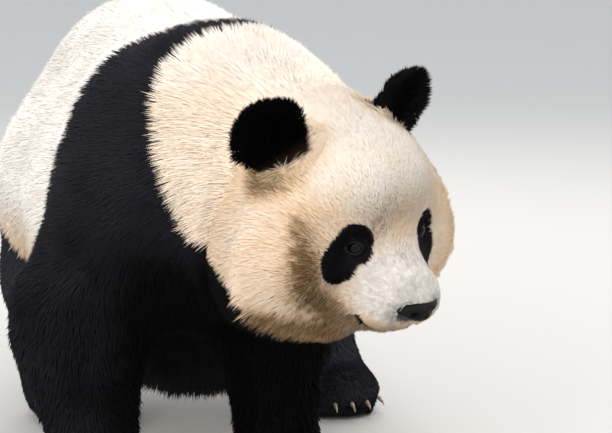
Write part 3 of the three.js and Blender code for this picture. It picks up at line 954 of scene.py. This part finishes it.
@dataclass
class Skin:
    """The one skin of the whole animal, inside its solids by the coat's depth."""

    body: Body
    coat: CoatMap
    voxel: float = 0.0065
    filler: float = 0.034  # a ball that fills each eye socket
    filler_front: float = 0.0130  # how far its front stands before the eyeball's middle
    eyeball: float = 0.0120
    lid: float = 0.0134
    opening: tuple[float, float, float] = (0.0110, 0.0084, 0.0073)  # across, up and down
    fold_depth: float = 0.0009
    lip_width: float = 0.0060
    lip_depth: float = 0.0060
    corner_width: float = 0.0096
    corner_depth: float = 0.0130
    bridge_depth: float = 0.0042
    cheek_fold_depth: float = 0.0070
    crease_depth: float = 0.0150
    mesh: bpy.types.Mesh = field(init=False)
    open_share: Points = field(init=False)
    lip_share: Points = field(init=False)
    lips: Points = field(init=False)
    lip_normals: Points = field(init=False)

    FLESH = ("face", "head", "ear_left", "ear_right", "neck", "shoulders", "trunk", "tail",
             "forearm_left", "forearm_right", "forepaw_left", "forepaw_right", "thigh_left",
             "thigh_right", "shank_left", "shank_right", "hindpaw_left", "hindpaw_right")

    def build(self, nodes: dict[str, bpy.types.Object]) -> bpy.types.Object:
        """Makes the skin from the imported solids.

        Args:
            nodes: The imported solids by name.

        Returns:
            The skin as a piece.
        """
        remesh = {"mode": "VOXEL", "voxel_size": self.voxel}
        self.mesh = settled(self._join(nodes), REMESH=remesh)
        self._round_off()
        self._draw_in(self.mesh)
        self._hollow()
        self._unwrap()
        self._refine()
        self._shape_lids()
        self._shape_lips()
        self._mark()
        soften(self.mesh)
        piece = put("skin", self.mesh, PeltFinish().dress_skin())
        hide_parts(*self.FLESH)
        return piece

    def _join(self, nodes: dict[str, bpy.types.Object]) -> bpy.types.Mesh:
        """One mesh of all the flesh, with the eye sockets and the nose pad's bed filled."""
        bm = bmesh.new()
        for name in (*self.FLESH, "nose"):
            bm.from_mesh(nodes[name].data)
        bmesh.ops.remove_doubles(bm, verts=bm.verts, dist=1e-5)
        below = self.filler_front - self.filler
        for eye in self.body.eyes:
            place = Matrix.Translation(eye.outside(np.array((0.0, 0.0, below))))
            bmesh.ops.create_icosphere(bm, subdivisions=3, radius=self.filler, matrix=place)
        return finished(bm, "flesh")

    def _round_off(self, rounds: int = 22, given_back: int = 12) -> None:
        """Rounds the facets off without drawing the thin parts in.

        Args:
            rounds: How many times the surface is evened out.
            given_back: How many times what that took off is evened out before it is put back.
        """
        rough = get_points(self.mesh)
        soft = evened(self.mesh, rough, rounds)
        set_points(self.mesh, soft + evened(self.mesh, rough - soft, given_back))

    def _draw_in(self, mesh: bpy.types.Mesh) -> None:
        """Moves the surface in by the coat's depth."""
        p, n = get_points(mesh), get_points(mesh, "normal")
        depth = evened(mesh, self.coat.growth(p, n)["depth"][:, None], 3)
        inner = p - n * depth
        sole = ((p[:, 2] < 0.004) & (n[:, 2] < -0.5))[:, None]
        set_points(mesh, np.where(sole, inner, evened(mesh, inner, 3)))

    def _hollow(self) -> None:
        """Lowers the root of the nose and parts the cheeks from the neck."""
        head = self.body.head
        p, n = get_points(self.mesh), get_points(self.mesh, "normal")
        h = head.inside(p)
        root = np.exp(-((h[:, 0] / 0.042) ** 2) - ((h[:, 2] - 0.036) / 0.052) ** 2)
        press = self.crease_depth * self.body.crease(h)
        press += self.cheek_fold_depth * self.body.cheek_fold(h)
        h[:, 1] += self.bridge_depth * root * ease(h[:, 1], -0.05, -0.09)
        set_points(self.mesh, head.outside(h) - n * press[:, None])

    def _unwrap(self) -> None:
        """Gives the skin its map, cut where the surface turns."""
        holder = placed("holder", self.mesh)
        bpy.context.view_layer.objects.active = holder
        self.mesh.uv_layers.new(name=BAKE_MAP)
        bpy.ops.object.mode_set(mode="EDIT")
        bpy.ops.mesh.select_all(action="SELECT")
        bpy.ops.uv.smart_project(angle_limit=math.radians(66), island_margin=0.004)
        bpy.ops.object.mode_set(mode="OBJECT")
        bpy.data.objects.remove(holder)

    def _refine(self) -> None:
        """Divides the skin more finely round the eyes and the mouth."""
        lips = self.body.head.outside(self._lip_points())
        for eye_reach, lip_reach in ((0.030, 0.020), (0.024, 0.012), (0.018, 0.0), (0.014, 0.0)):
            bm = bmesh.new()
            bm.from_mesh(self.mesh)
            p = get_points(self.mesh)
            near = np.zeros(len(p), bool)
            for eye in self.body.eyes:
                e = eye.inside(p)
                near |= (np.linalg.norm(e[:, :2], axis=1) < eye_reach) & (e[:, 2] > -0.012)
            if lip_reach:
                near |= self.reach(p, lips) < lip_reach
            bm.verts.ensure_lookup_table()
            edges = list({e for i in np.flatnonzero(near) for e in bm.verts[i].link_edges})
            bmesh.ops.subdivide_edges(bm, edges=edges, cuts=1, use_grid_fill=True, smooth=0.6)
            bm.to_mesh(self.mesh)
            bm.free()
        self.mesh.update()

    def _lip_points(self) -> Points:
        """Points on the lip line, from its right corner to its left, in the head's frame."""
        line = self.body.LIP
        t = np.linspace(0, len(line) - 1, 40)
        left = np.column_stack([np.interp(t, np.arange(len(line)), line[:, k]) for k in range(3)])
        return np.vstack((left[::-1] * (-1, 1, 1), left))

    @staticmethod
    def reach(p: Points, line: Points) -> Points:
        """How far each point is from the nearest point of a line."""
        best = np.full(len(p), np.inf)
        for q in line:
            best = np.minimum(best, np.linalg.norm(p - q, axis=1))
        return best

    def _shape_lids(self) -> None:
        """Raises a lid over each eyeball and opens it."""
        p = get_points(self.mesh)
        self.open_share = np.zeros(len(p))
        across, up, down = self.opening
        for eye in self.body.eyes:
            e = eye.inside(p)
            reach = np.linalg.norm(e[:, :2], axis=1)
            near = (reach < 0.024) & (e[:, 2] > -0.010)
            lid = np.sqrt(np.maximum(self.lid**2 - reach**2, 0.0))
            lid -= 3.0 * np.maximum(reach - self.lid, 0.0)
            soft = 0.0035
            gap = np.abs(lid - e[:, 2])
            raised = np.maximum(lid, e[:, 2]) + np.maximum(soft - gap, 0.0) ** 2 / (4 * soft)
            height = np.maximum(1 - (e[:, 0] / across) ** 2, 0.0) ** 0.62
            height *= np.where(e[:, 1] > 0, up, down)
            rim = np.abs(e[:, 1]) - height
            raised -= self.fold_depth * np.exp(-(((rim - 0.0036) / 0.0011) ** 2))
            opened = ease(rim, 0.0005, -0.0007) * (np.abs(e[:, 0]) < across)
            deep = np.sqrt(np.maximum((self.eyeball - 0.0022) ** 2 - reach**2, 0.0))
            w = raised * (1 - opened) + deep * opened
            e[:, 2] = np.where(near, w, e[:, 2])
            p = np.where(near[:, None], eye.outside(e), p)
            wet = ease(rim, 0.0022, 0.0004) * (np.abs(e[:, 0]) < across + 0.002)
            self.open_share = np.where(near, np.maximum(self.open_share, wet), self.open_share)
        set_points(self.mesh, p)

    def _shape_lips(self) -> None:
        """Presses in the mouth's line."""
        p, n = get_points(self.mesh), get_points(self.mesh, "normal")
        tree = BVHTree.FromPolygons(p.tolist(), [tuple(f.vertices) for f in self.mesh.polygons])
        line = self.body.head.outside(self._lip_points())
        found = [tree.find_nearest(Vector(q)) for q in line]
        on_skin = np.array([hit[0] for hit in found])
        self.lip_normals = np.array([hit[1] for hit in found])
        reach = self.reach(p, on_skin)
        press = self.lip_depth * np.maximum(1.0 - (reach / self.lip_width) ** 2, 0.0)
        for corner in (on_skin[0], on_skin[-1]):
            away = np.linalg.norm(p - corner, axis=1) / self.corner_width
            press = np.maximum(press, self.corner_depth * np.maximum(1.0 - away**2, 0.0))
        set_points(self.mesh, p - n * press[:, None])
        self.lip_share = ease(press, 0.15 * self.lip_depth, 0.55 * self.lip_depth)
        self.lips = on_skin

    def _mark(self) -> None:
        """Stores the markings on the skin's points."""
        p, n = get_points(self.mesh), get_points(self.mesh, "normal")
        tips = p + n * self.coat.growth(p, n)["depth"][:, None]
        hold(self.mesh, "black", self.body.blackness(tips))
        hold(self.mesh, "warm", self.body.warmth(tips))
        h = self.body.head.inside(p)
        bed = ease(self.body.pad_reach(h), 1.14, 1.02)
        hold(self.mesh, "bare", np.maximum.reduce((self.open_share, self.lip_share, bed)))
        hold(self.mesh, "deep", self.body.depth_and_shade(tips))
        hold(self.mesh, "grey", self.body.greyness(tips))
        hold(self.mesh, "tint", np.full(len(p), 0.5))
        hold(self.mesh, "rise", np.full(len(p), 0.35))


# ---------------------------------------------------------------- the coat


@dataclass
class Coat:
    """Tufts: closed spindles that spring from the skin, bend over and taper to a point."""

    body: Body
    coat: CoatMap
    skin: bpy.types.Mesh
    lips: Points
    lip_normals: Points
    tufts: int = 355_000
    most_in_piece: int = 48_000
    seed: int = 7
    waist: float = 0.40  # where along its length a tuft is widest and bends
    seen: float = 0.72  # the place along a tuft that gives it its colour
    sunk: float = 0.0008  # how deep in the skin it starts
    lowest: float = 0.0004  # no tuft goes below this height
    patch: float = 0.003  # a tuft's size on the map
    lip_bare: float = 0.0036  # no roots nearer to the lip line than this
    corner_bare: float = 0.0070  # nor to the mouth's corners than this
    lip_gap: float = 0.0026  # how far tufts that hang over keep from the lip line
    corner_gap: float = 0.0074  # and from the mouth's corners

    FEWER = 3  # how many times fewer tufts a quicker build would grow
    TESTED = (0.3, 0.5, 0.75, 1.0)  # places along a tuft that keep clear of eyes and mouth
    CORNERS = 4
    # Root, left, right, tip: two faces above and two below.
    FACES = np.array(((0, 1, 2), (2, 1, 3), (0, 3, 1), (0, 2, 3)))
    GROUPS = {
        "face": (Zone.FACE, Zone.MUZZLE, Zone.CHIN),
        "head": (Zone.CHEEK, Zone.CROWN),
        "ruff": (Zone.RUFF,),
        "patch": (Zone.PATCH,),
        "ears": (Zone.EAR,),
        "neck": (Zone.NECK,),
        "legs": (Zone.LEG, Zone.PAW, Zone.SOLE),
        "belly": (Zone.BELLY,),
        "tail": (Zone.TAIL,),
    }

    def build(self) -> list[bpy.types.Object]:
        """Grows the coat.

        Returns:
            The coat's pieces.
        """
        rng = np.random.default_rng(self.seed)
        root, normal, on_map = self._roots(rng)
        bend, tip, width = self._grow(root, normal, rng)
        keep = np.logical_and.reduce([self._clear(root + k * (tip - root)) for k in self.TESTED])
        root, normal, on_map, bend, tip, width = (
            values[keep] for values in (root, normal, on_map, bend, tip, width))
        corners, normals = self._spindles(root, normal, bend, tip, width)

        count = len(root)
        seen = root + self.seen * (tip - root)
        ragged = (0.002 + 0.006 * self._under(normal)) * (1.0 - self._on_ear(root))
        ragged *= ease(self.body.head.inside(seen)[:, 1], -0.070, -0.030)
        apart = seen + rng.normal(0.0, 1.0, (count, 3)) * ragged[:, None]
        black = self.body.blackness(apart) + rng.normal(0.0, 0.10, count) > 0.5
        fields = {"tint": rng.uniform(0.0, 1.0, count), "warm": self.body.warmth(seen),
                  "deep": self.body.depth_and_shade(seen), "grey": self.body.greyness(seen)}
        names = self._names(root, normal)
        log.info("tufts: %s", dict(zip(*np.unique(names.astype(str), return_counts=True))))
        return self._pieces(corners, normals, on_map, black, names, fields)

    @staticmethod
    def _under(normal: Points) -> Points:
        """1 where the skin faces down, 0 on the sides and above."""
        return ease(normal[:, 2], 0.15, -0.50)

    def _on_ear(self, p: Points) -> Points:
        """1 on an ear, 0 off it."""
        return self.body.ear_share(self.body.head.inside(p))

    def _grow(self, root: Points, normal: Points,
              rng: np.random.Generator) -> tuple[Points, Points, Points]:
        """Sends each tuft up from its root, then bends it over.

        Args:
            root: The roots.
            normal: The skin's unit normals there.
            rng: The source of chance.

        Returns:
            Where the tufts bend, their tips, and how wide they are.
        """
        count = len(root)
        growth = self.coat.growth(root, normal)
        under, ear = self._under(normal), self._on_ear(root)
        length = growth["length"] * rng.uniform(0.74, 1.16, count)
        length *= 1.0 + 0.10 * wander(root, 0.03, 31) + 0.60 * under * wander(root, 0.007, 32)
        width = growth["width"] * rng.uniform(0.70, 1.25, count)
        width *= 1.0
        rise = growth["depth"] * rng.uniform(0.72, 1.06, count) / length
        loose = rng.uniform(0, 1, count) < 0.10 + 0.28 * ear + 0.20 * under
        rise *= np.where(loose, rng.uniform(1.1, 1.6 + 0.4 * ear, count), 1.0)
        rise = np.clip(rise, 0.12, 0.93)
        stray = rng.normal(0.0, 0.16, count)
        lie = self.coat.lie(root, normal)
        way = unit(lie + np.cross(lie, normal) * stray[:, None])
        first = np.minimum(np.arcsin(rise) * 1.35, 1.45)
        second = (rise - self.waist * np.sin(first)) / (1 - self.waist)
        second = np.arcsin(np.clip(second, -0.35, 0.97))
        hang = (0.6 * under)[:, None] * (0.0, 0.0, -1.0)
        first, second = (np.cos(angle)[:, None] * way + np.sin(angle)[:, None] * normal
                         for angle in (first, second))
        bend = root + (length * self.waist)[:, None] * unit(first + 0.5 * hang)
        tip = bend + (length * (1 - self.waist))[:, None] * unit(second + hang)
        tip, bend = self._clump(root, bend, tip, growth["width"])
        for p in (bend, tip):
            p[:, 2] = np.maximum(p[:, 2], self.lowest)
        return bend, tip, width

    def _spindles(self, root: Points, normal: Points, bend: Points, tip: Points,
                  width: Points) -> tuple[Points, Points]:
        """The corners of each tuft and the normals that it is shaded with.

        Args:
            root: The roots.
            normal: The skin's unit normals there.
            bend: Where the tufts bend.
            tip: Their tips.
            width: How wide they are there.

        Returns:
            Four corners and four normals for each tuft.
        """
        reach = tip - root
        across = unit(np.cross(unit(reach), normal))
        out = unit(np.cross(across, unit(reach)))
        half = (width / 2)[:, None]
        share = np.sum((bend - root) * reach, axis=1, keepdims=True)
        share /= np.maximum(np.sum(reach**2, axis=1, keepdims=True), 1e-12)
        chord = root + reach * np.clip(share, 0.1, 0.9)
        height = np.sum((bend - chord) * out, axis=1, keepdims=True)
        bend = bend + out * np.maximum(half * 0.5 - height, 0.0)
        left, right = bend + across * half, bend - across * half
        soft = unit(normal + out * 0.35)
        aside = across * 0.14
        return (np.stack((root - normal * self.sunk, left, right, tip), 1),
                np.stack((normal, unit(soft + aside), unit(soft - aside), soft), 1))

    def _roots(self, rng: np.random.Generator) -> tuple[Points, Points, Points]:
        """Strews the roots over the skin, as densely as each zone wants.

        Args:
            rng: The source of chance.

        Returns:
            The roots, the skin's normals there, and their places on the skin's map.
        """
        mesh = self.skin
        mesh.calc_loop_triangles()
        count = len(mesh.loop_triangles)
        corners = np.empty(count * 3, np.int32)
        loops = np.empty(count * 3, np.int32)
        mesh.loop_triangles.foreach_get("vertices", corners)
        mesh.loop_triangles.foreach_get("loops", loops)
        corners, loops = corners.reshape(-1, 3), loops.reshape(-1, 3)
        p, n = get_points(mesh), get_points(mesh, "normal")
        on_map = np.empty(len(mesh.loops) * 2, np.float32)
        mesh.uv_layers[BAKE_MAP].data.foreach_get("uv", on_map)
        on_map = on_map.reshape(-1, 2)

        a, b, c = (p[corners[:, k]] for k in range(3))
        area = np.linalg.norm(np.cross(b - a, c - a), axis=1) / 2
        centre = (a + b + c) / 3
        growth = self.coat.growth(centre, unit(np.cross(b - a, c - a)))
        wanted = area * growth["cover"] / (growth["length"] * growth["width"])
        wanted *= self._haired(centre)
        total = np.cumsum(wanted)
        log.info("%d tufts wanted, %d grown", total[-1], self.tufts)
        picks = (np.arange(self.tufts) + rng.uniform(0, 1, self.tufts)) / self.tufts * total[-1]
        chosen = np.minimum(np.searchsorted(total, picks), count - 1)
        u, v = rng.uniform(0, 1, (2, self.tufts))
        fold = u + v > 1
        u, v = np.where(fold, 1 - u, u), np.where(fold, 1 - v, v)
        weights = np.column_stack((1 - u - v, u, v))[:, :, None]
        root, normal, spot = (
            np.sum(values[index[chosen]] * weights, axis=1)
            for values, index in ((p, corners), (n, corners), (on_map, loops)))
        return root, unit(normal), spot

    def _before_eye(self, p: Points, across: float, high: float, up: float = 0.0) -> np.ndarray:
        """Whether points lie before an eye, within an oval.

        Args:
            p: The points.
            across: Half the oval's width.
            high: Half its height.
            up: How far above the pupil its middle lies.

        Returns:
            Whether each of them does.
        """
        found = np.zeros(len(p), bool)
        for eye in self.body.eyes:
            e = eye.inside(p)
            found |= (np.hypot(e[:, 0] / across, (e[:, 1] - up) / high) < 1.0) & (e[:, 2] > 0.0)
        return found

    def _haired(self, p: Points) -> np.ndarray:
        """Whether hair grows: not in the eyes' openings, under the nose pad or on the lips."""
        bare = self._before_eye(p, 0.0122, 0.0100, 0.0006)
        bare |= self.body.pad_reach(self.body.head.inside(p)) < 0.94
        bare |= Skin.reach(p, self.lips) < self.lip_bare
        bare |= Skin.reach(p, self.lips[[0, -1]]) < self.corner_bare
        return ~bare & (p[:, 2] > 0.003)

    def _clear(self, p: Points) -> np.ndarray:
        """Whether points keep clear of the eyes' openings and of the line of the mouth.

        Args:
            p: Points on the tufts, one row for each.

        Returns:
            Whether each of them does.
        """
        clear = ~self._before_eye(p, 0.0118, 0.0092)
        h = self.body.head.inside(p)
        near = np.flatnonzero((h[:, 2] < -0.06) & (h[:, 1] < -0.09) & (np.abs(h[:, 0]) < 0.09))
        count = np.arange(len(self.lips))
        to_corner = ease(np.minimum(count, count[::-1]), 11.0, 0.0)
        gaps = self.lip_gap + (self.corner_gap - self.lip_gap) * to_corner
        for q, out, gap in zip(self.lips, self.lip_normals, gaps):
            d = p[near] - q
            above = d @ out
            beside = np.linalg.norm(d - above[:, None] * out, axis=1)
            clear[near] &= (beside > gap) | (np.abs(above) > 0.025)
        return clear

    def _clump(self, root: Points, bend: Points, tip: Points,
               width: Points) -> tuple[Points, Points]:
        """Draws the tips of neighbouring tufts together into locks.

        Args:
            root: The roots.
            bend: Where the tufts bend.
            tip: Their tips.
            width: The tufts' widths, which the locks' sizes follow.

        Returns:
            The tips and the bends, moved.
        """
        for cells, share, seed in ((5.5, 0.30, 41), (13.0, 0.15, 42)):
            jitter = np.column_stack([wander(root, 0.011, seed * 10 + k) for k in range(3)])
            size = np.exp2(np.round(np.log2(width * cells) * 2) / 2)[:, None]
            slanted = root @ turned(31.0, 23.0, 17.0) + jitter * size * 0.5
            cell = np.floor(slanted / size).astype(np.int64)
            _, which, held = np.unique(cell_keys(cell), return_inverse=True, return_counts=True)
            drift = np.empty_like(tip)
            for k in range(3):
                drift[:, k] = (np.bincount(which, tip[:, k]) / held)[which] - tip[:, k]
            far = np.linalg.norm(drift, axis=1, keepdims=True)
            drift *= np.minimum(1.0, 1.5 * size / np.maximum(far, 1e-9))
            tip = tip + drift * share
            bend = bend + drift * share * 0.35
        return tip, bend

    def _names(self, root: Points, normal: Points) -> np.ndarray:
        """Which part of the body each tuft belongs to, as a name."""
        shares = self.coat.shares(root, normal)
        name = np.where(root[:, 1] < 0.12, "flanks", "rump").astype(object)
        for word, zones in self.GROUPS.items():
            name[sum(shares[z] for z in zones) > 0.5] = word
        fore = root[:, 1] < 0.0
        name[(name == "legs") & fore] = "forelegs"
        name[(name == "legs") & ~fore] = "hindlegs"
        return name

    def _pieces(self, corners: Points, normals: Points, on_map: Points, black: np.ndarray,
                names: np.ndarray, fields: dict[str, Points]) -> list[bpy.types.Object]:
        """Makes the pieces, one for each colour and part of the body, or more where it is large.

        Args:
            corners: The corners of each tuft.
            normals: The normals to shade them with.
            on_map: Each tuft's place on the map.
            black: Whether each tuft is black.
            names: The part of the body that each belongs to.
            fields: A number for each tuft, by name.

        Returns:
            The pieces.
        """
        finish = PeltFinish()
        looks = (("white", Slot.WHITE, finish.dress_white()),
                 ("black", Slot.BLACK, finish.dress_black()))
        made = []
        for colour, name in itertools.product((0, 1), sorted(set(names))):
            held = np.flatnonzero((black == colour) & (names == name))
            if not len(held):
                continue
            word, slot, material = looks[colour]
            parts = math.ceil(len(held) / self.most_in_piece)
            for k, some in enumerate(np.array_split(held, parts)):
                mesh = self._mesh(corners[some], normals[some], on_map[some],
                                  {key: values[some] for key, values in fields.items()})
                made.append(put(f"coat_{word}_{name}_{k + 1}", mesh, material))
        return made

    def _mesh(self, corners: Points, normals: Points, on_map: Points,
              fields: dict[str, Points]) -> bpy.types.Mesh:
        """One mesh of many tufts.

        Args:
            corners: The corners of each tuft.
            normals: The normals to shade them with.
            on_map: Each tuft's place on the map.
            fields: A number for each tuft, by name.

        Returns:
            The mesh, with its map and its numbers.
        """
        count = len(corners)
        index = (self.FACES[None] + (np.arange(count) * self.CORNERS)[:, None, None]).reshape(-1)
        mesh = bpy.data.meshes.new("coat")
        mesh.vertices.add(count * self.CORNERS)
        mesh.vertices.foreach_set("co", corners.astype(np.float32).ravel())
        mesh.loops.add(len(index))
        mesh.loops.foreach_set("vertex_index", index.astype(np.int32))
        mesh.polygons.add(len(index) // 3)
        mesh.polygons.foreach_set("loop_start", np.arange(0, len(index), 3, dtype=np.int32))
        mesh.polygons.foreach_set("use_smooth", np.ones(len(index) // 3, bool))
        mesh.update(calc_edges=True)
        shape = np.array(((0.0, -0.5), (-0.5, 0.0), (0.5, 0.0), (0.0, 0.5)))
        spots = on_map[:, None] + shape[None] * self.patch
        spots = np.clip(spots, 0.0005, 0.9995).reshape(-1, 2)
        layer = mesh.uv_layers.new(name=BAKE_MAP)
        layer.data.foreach_set("uv", spots[index].astype(np.float32).ravel())
        for name, values in fields.items():
            hold(mesh, name, np.repeat(values, self.CORNERS))
        hold(mesh, "rise", np.tile((0.0, 0.5, 0.5, 1.0), count))
        mesh.normals_split_custom_set_from_vertices(normals.reshape(-1, 3))
        return mesh


# ---------------------------------------------------------------- eyes, nose, claws


@dataclass
class Eyes:
    """Two wet eyeballs."""

    body: Body
    radius: float
    cornea: float = 0.0009  # how far the clear front stands proud

    def build(self) -> None:
        """Makes both eyeballs."""
        material = EyeFinish().dress()
        for eye, word in zip(self.body.eyes, SIDES):
            bm = bmesh.new()
            bmesh.ops.create_uvsphere(bm, u_segments=64, v_segments=40, radius=self.radius)
            mesh = finished(bm, f"eyeball_{word}")
            e = get_points(mesh)
            out = np.linalg.norm(e[:, :2], axis=1) / self.radius
            out = np.where(e[:, 2] > 0, out, 1.5)
            e *= 1.0 + (self.cornea / self.radius) * ease(out, 0.75, 0.35)[:, None]
            set_points(mesh, eye.outside(e))
            hold(mesh, "out", out)
            soften(mesh)
            piece = put(f"eyeball_{word}", mesh, material)
            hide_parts(f"eye_{word}")


@dataclass
class NosePad:
    """The leather pad on the end of the muzzle, with its nostrils."""

    body: Body
    half: tuple[float, float, float] = (0.0410, 0.0190, 0.0158)
    wrap: float = 0.010
    place: tuple[float, float, float] = (0.0, -0.176, -0.0635)
    tilt: float = -10.0

    def build(self) -> None:
        """Makes the pad."""
        bm = bmesh.new()
        bmesh.ops.create_icosphere(bm, subdivisions=6, radius=1.0)
        mesh = finished(bm, "nose_pad")
        s = get_points(mesh)
        s /= (np.sum(np.abs(s) ** 2.7, axis=1) ** (1 / 2.7))[:, None]
        x, y, z = s.T
        taper = 0.42 + 0.58 * ease(z, -1.0, 0.35)
        pad = np.column_stack((
            x * self.half[0] * taper,
            y * self.half[1] + self.wrap * (x * taper) ** 2,
            z * self.half[2] * (1.0 - 0.18 * x * x),
        ))
        side = np.abs(x)
        nostril = np.exp(-(((side - 0.46) / 0.17) ** 2) - ((z + 0.02) / 0.24) ** 2)
        slit = (z + 0.34 - 0.25 * (side - 0.5)) / 0.13
        slit = np.exp(-(((side - 0.74) / 0.22) ** 2) - slit**2)
        groove = np.exp(-((x / 0.075) ** 2)) * ease(z, 0.15, -0.45)
        brow = np.exp(-(((side - 0.42) / 0.30) ** 2) - ((z - 0.45) / 0.25) ** 2)
        front = ease(y, 0.0, -0.4)
        inward = 0.0085 * nostril + 0.0050 * slit + 0.0028 * groove - 0.0016 * brow
        pad[:, 1] += inward * front
        pad = pad @ turned(self.tilt, 0.0, 0.0).T + self.place
        set_points(mesh, self.body.head.outside(pad))
        soften(mesh)
        piece = put("nose_pad", mesh, NoseFinish().dress())
        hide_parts("nose")


@dataclass
class Claws:
    """Smooth horn over each packed claw."""

    nodes: dict[str, bpy.types.Object]

    def build(self) -> None:
        """Makes every claw from its solid."""
        material = ClawFinish().dress()
        for name in sorted(n for n in self.nodes if n.startswith("claw_")):
            bm = bmesh.new()
            bm.from_mesh(self.nodes[name].data)
            bmesh.ops.remove_doubles(bm, verts=bm.verts, dist=1e-5)
            mesh = settled(finished(bm, name), SUBSURF={"levels": 2, "render_levels": 2})
            soften(mesh)
            piece = put(name.replace("claw", "horn"), mesh, material)
            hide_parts(name)


# ---------------------------------------------------------------- studio


@dataclass
class Studio:
    """A pale floor, soft light and the camera."""

    head: HeadFrame
    camera_from_eyes: tuple[float, float, float] = (-1.0579, -2.7929, 0.6050)
    looks: tuple[float, float, float] = (0.3132, 0.9307, -0.1891)
    lens: float = 127.6
    floor_half: float = 30.0
    floor_colour: Colour = (0.62, 0.59, 0.55, 1.0)
    sky_colour: Colour = (0.86, 0.92, 1.0, 1.0)
    sky_strength: float = 0.97
    aim: tuple[float, float, float] = (0.0, -0.3, 0.45)

    # Each square light: its name, place, side, power and colour.
    LIGHTS = (
        ("key", (0.0, -2.0, 3.6), 2.4, 74.0, (1.0, 0.98, 0.95)),
        ("back", (0.8, 2.4, 2.6), 2.4, 38.0, (1.0, 0.99, 0.97)),
        ("fill", (-3.2, -1.4, 1.8), 2.4, 58.0, (1.0, 0.96, 0.91)),
        ("far_fill", (3.4, 0.2, 1.8), 2.4, 26.0, (1.0, 0.98, 0.95)),
        ("glint", (-1.35, -2.35, 1.75), 0.30, 11.0, (1.0, 1.0, 1.0)),
    )

    def build(self) -> None:
        """Sets the stage."""
        self._floor()
        self._camera()
        self._lights()

    def _floor(self) -> None:
        """A plain pale floor."""
        bm = bmesh.new()
        bmesh.ops.create_grid(bm, x_segments=1, y_segments=1, size=self.floor_half)
        mesh = finished(bm, "floor")
        paint = Recipe("floor").set(Base_Color=self.floor_colour, Roughness=0.9)
        mesh.materials.append(paint.material)
        placed("floor", mesh)

    def _camera(self) -> None:
        """A long lens, a little above the head, from the animal's right front."""
        data = bpy.data.cameras.new("camera")
        data.lens = self.lens
        data.clip_end = 100.0
        camera = placed("camera", data)
        camera.location = self.head.eyes + np.array(self.camera_from_eyes)
        camera.rotation_euler = Vector(self.looks).to_track_quat("-Z", "Y").to_euler()
        bpy.context.scene.camera = camera

    def _lights(self) -> None:
        """A bright sky, a large key from above, warm fills and a small light for the eyes."""
        world = bpy.data.worlds.new("sky")
        world.use_nodes = True
        sky = world.node_tree.nodes["Background"]
        sky.inputs["Color"].default_value = self.sky_colour
        sky.inputs["Strength"].default_value = self.sky_strength
        bpy.context.scene.world = world
        for name, place, size, power, colour in self.LIGHTS:
            data = bpy.data.lights.new(name, "AREA")
            data.size, data.energy, data.color = size, power, colour
            light = placed(name, data)
            light.location = place
            aim = Vector(self.aim) - light.location
            light.rotation_euler = aim.to_track_quat("-Z", "Y").to_euler()
        bpy.context.scene.view_settings.view_transform = "Standard"


def main() -> None:
    """Builds the animal and its stage."""
    logging.basicConfig(level=logging.INFO, format="%(name)s: %(message)s")
    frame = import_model()
    nodes = frame["nodes"]
    body = Body()
    coat = CoatMap(body)
    skin = Skin(body, coat)
    skin.build(nodes)
    Coat(body, coat, skin.mesh, skin.lips, skin.lip_normals).build()
    Eyes(body, skin.eyeball).build()
    NosePad(body).build()
    Claws(nodes).build()
    Studio(body.head).build()


if __name__ == "__main__":
    main()
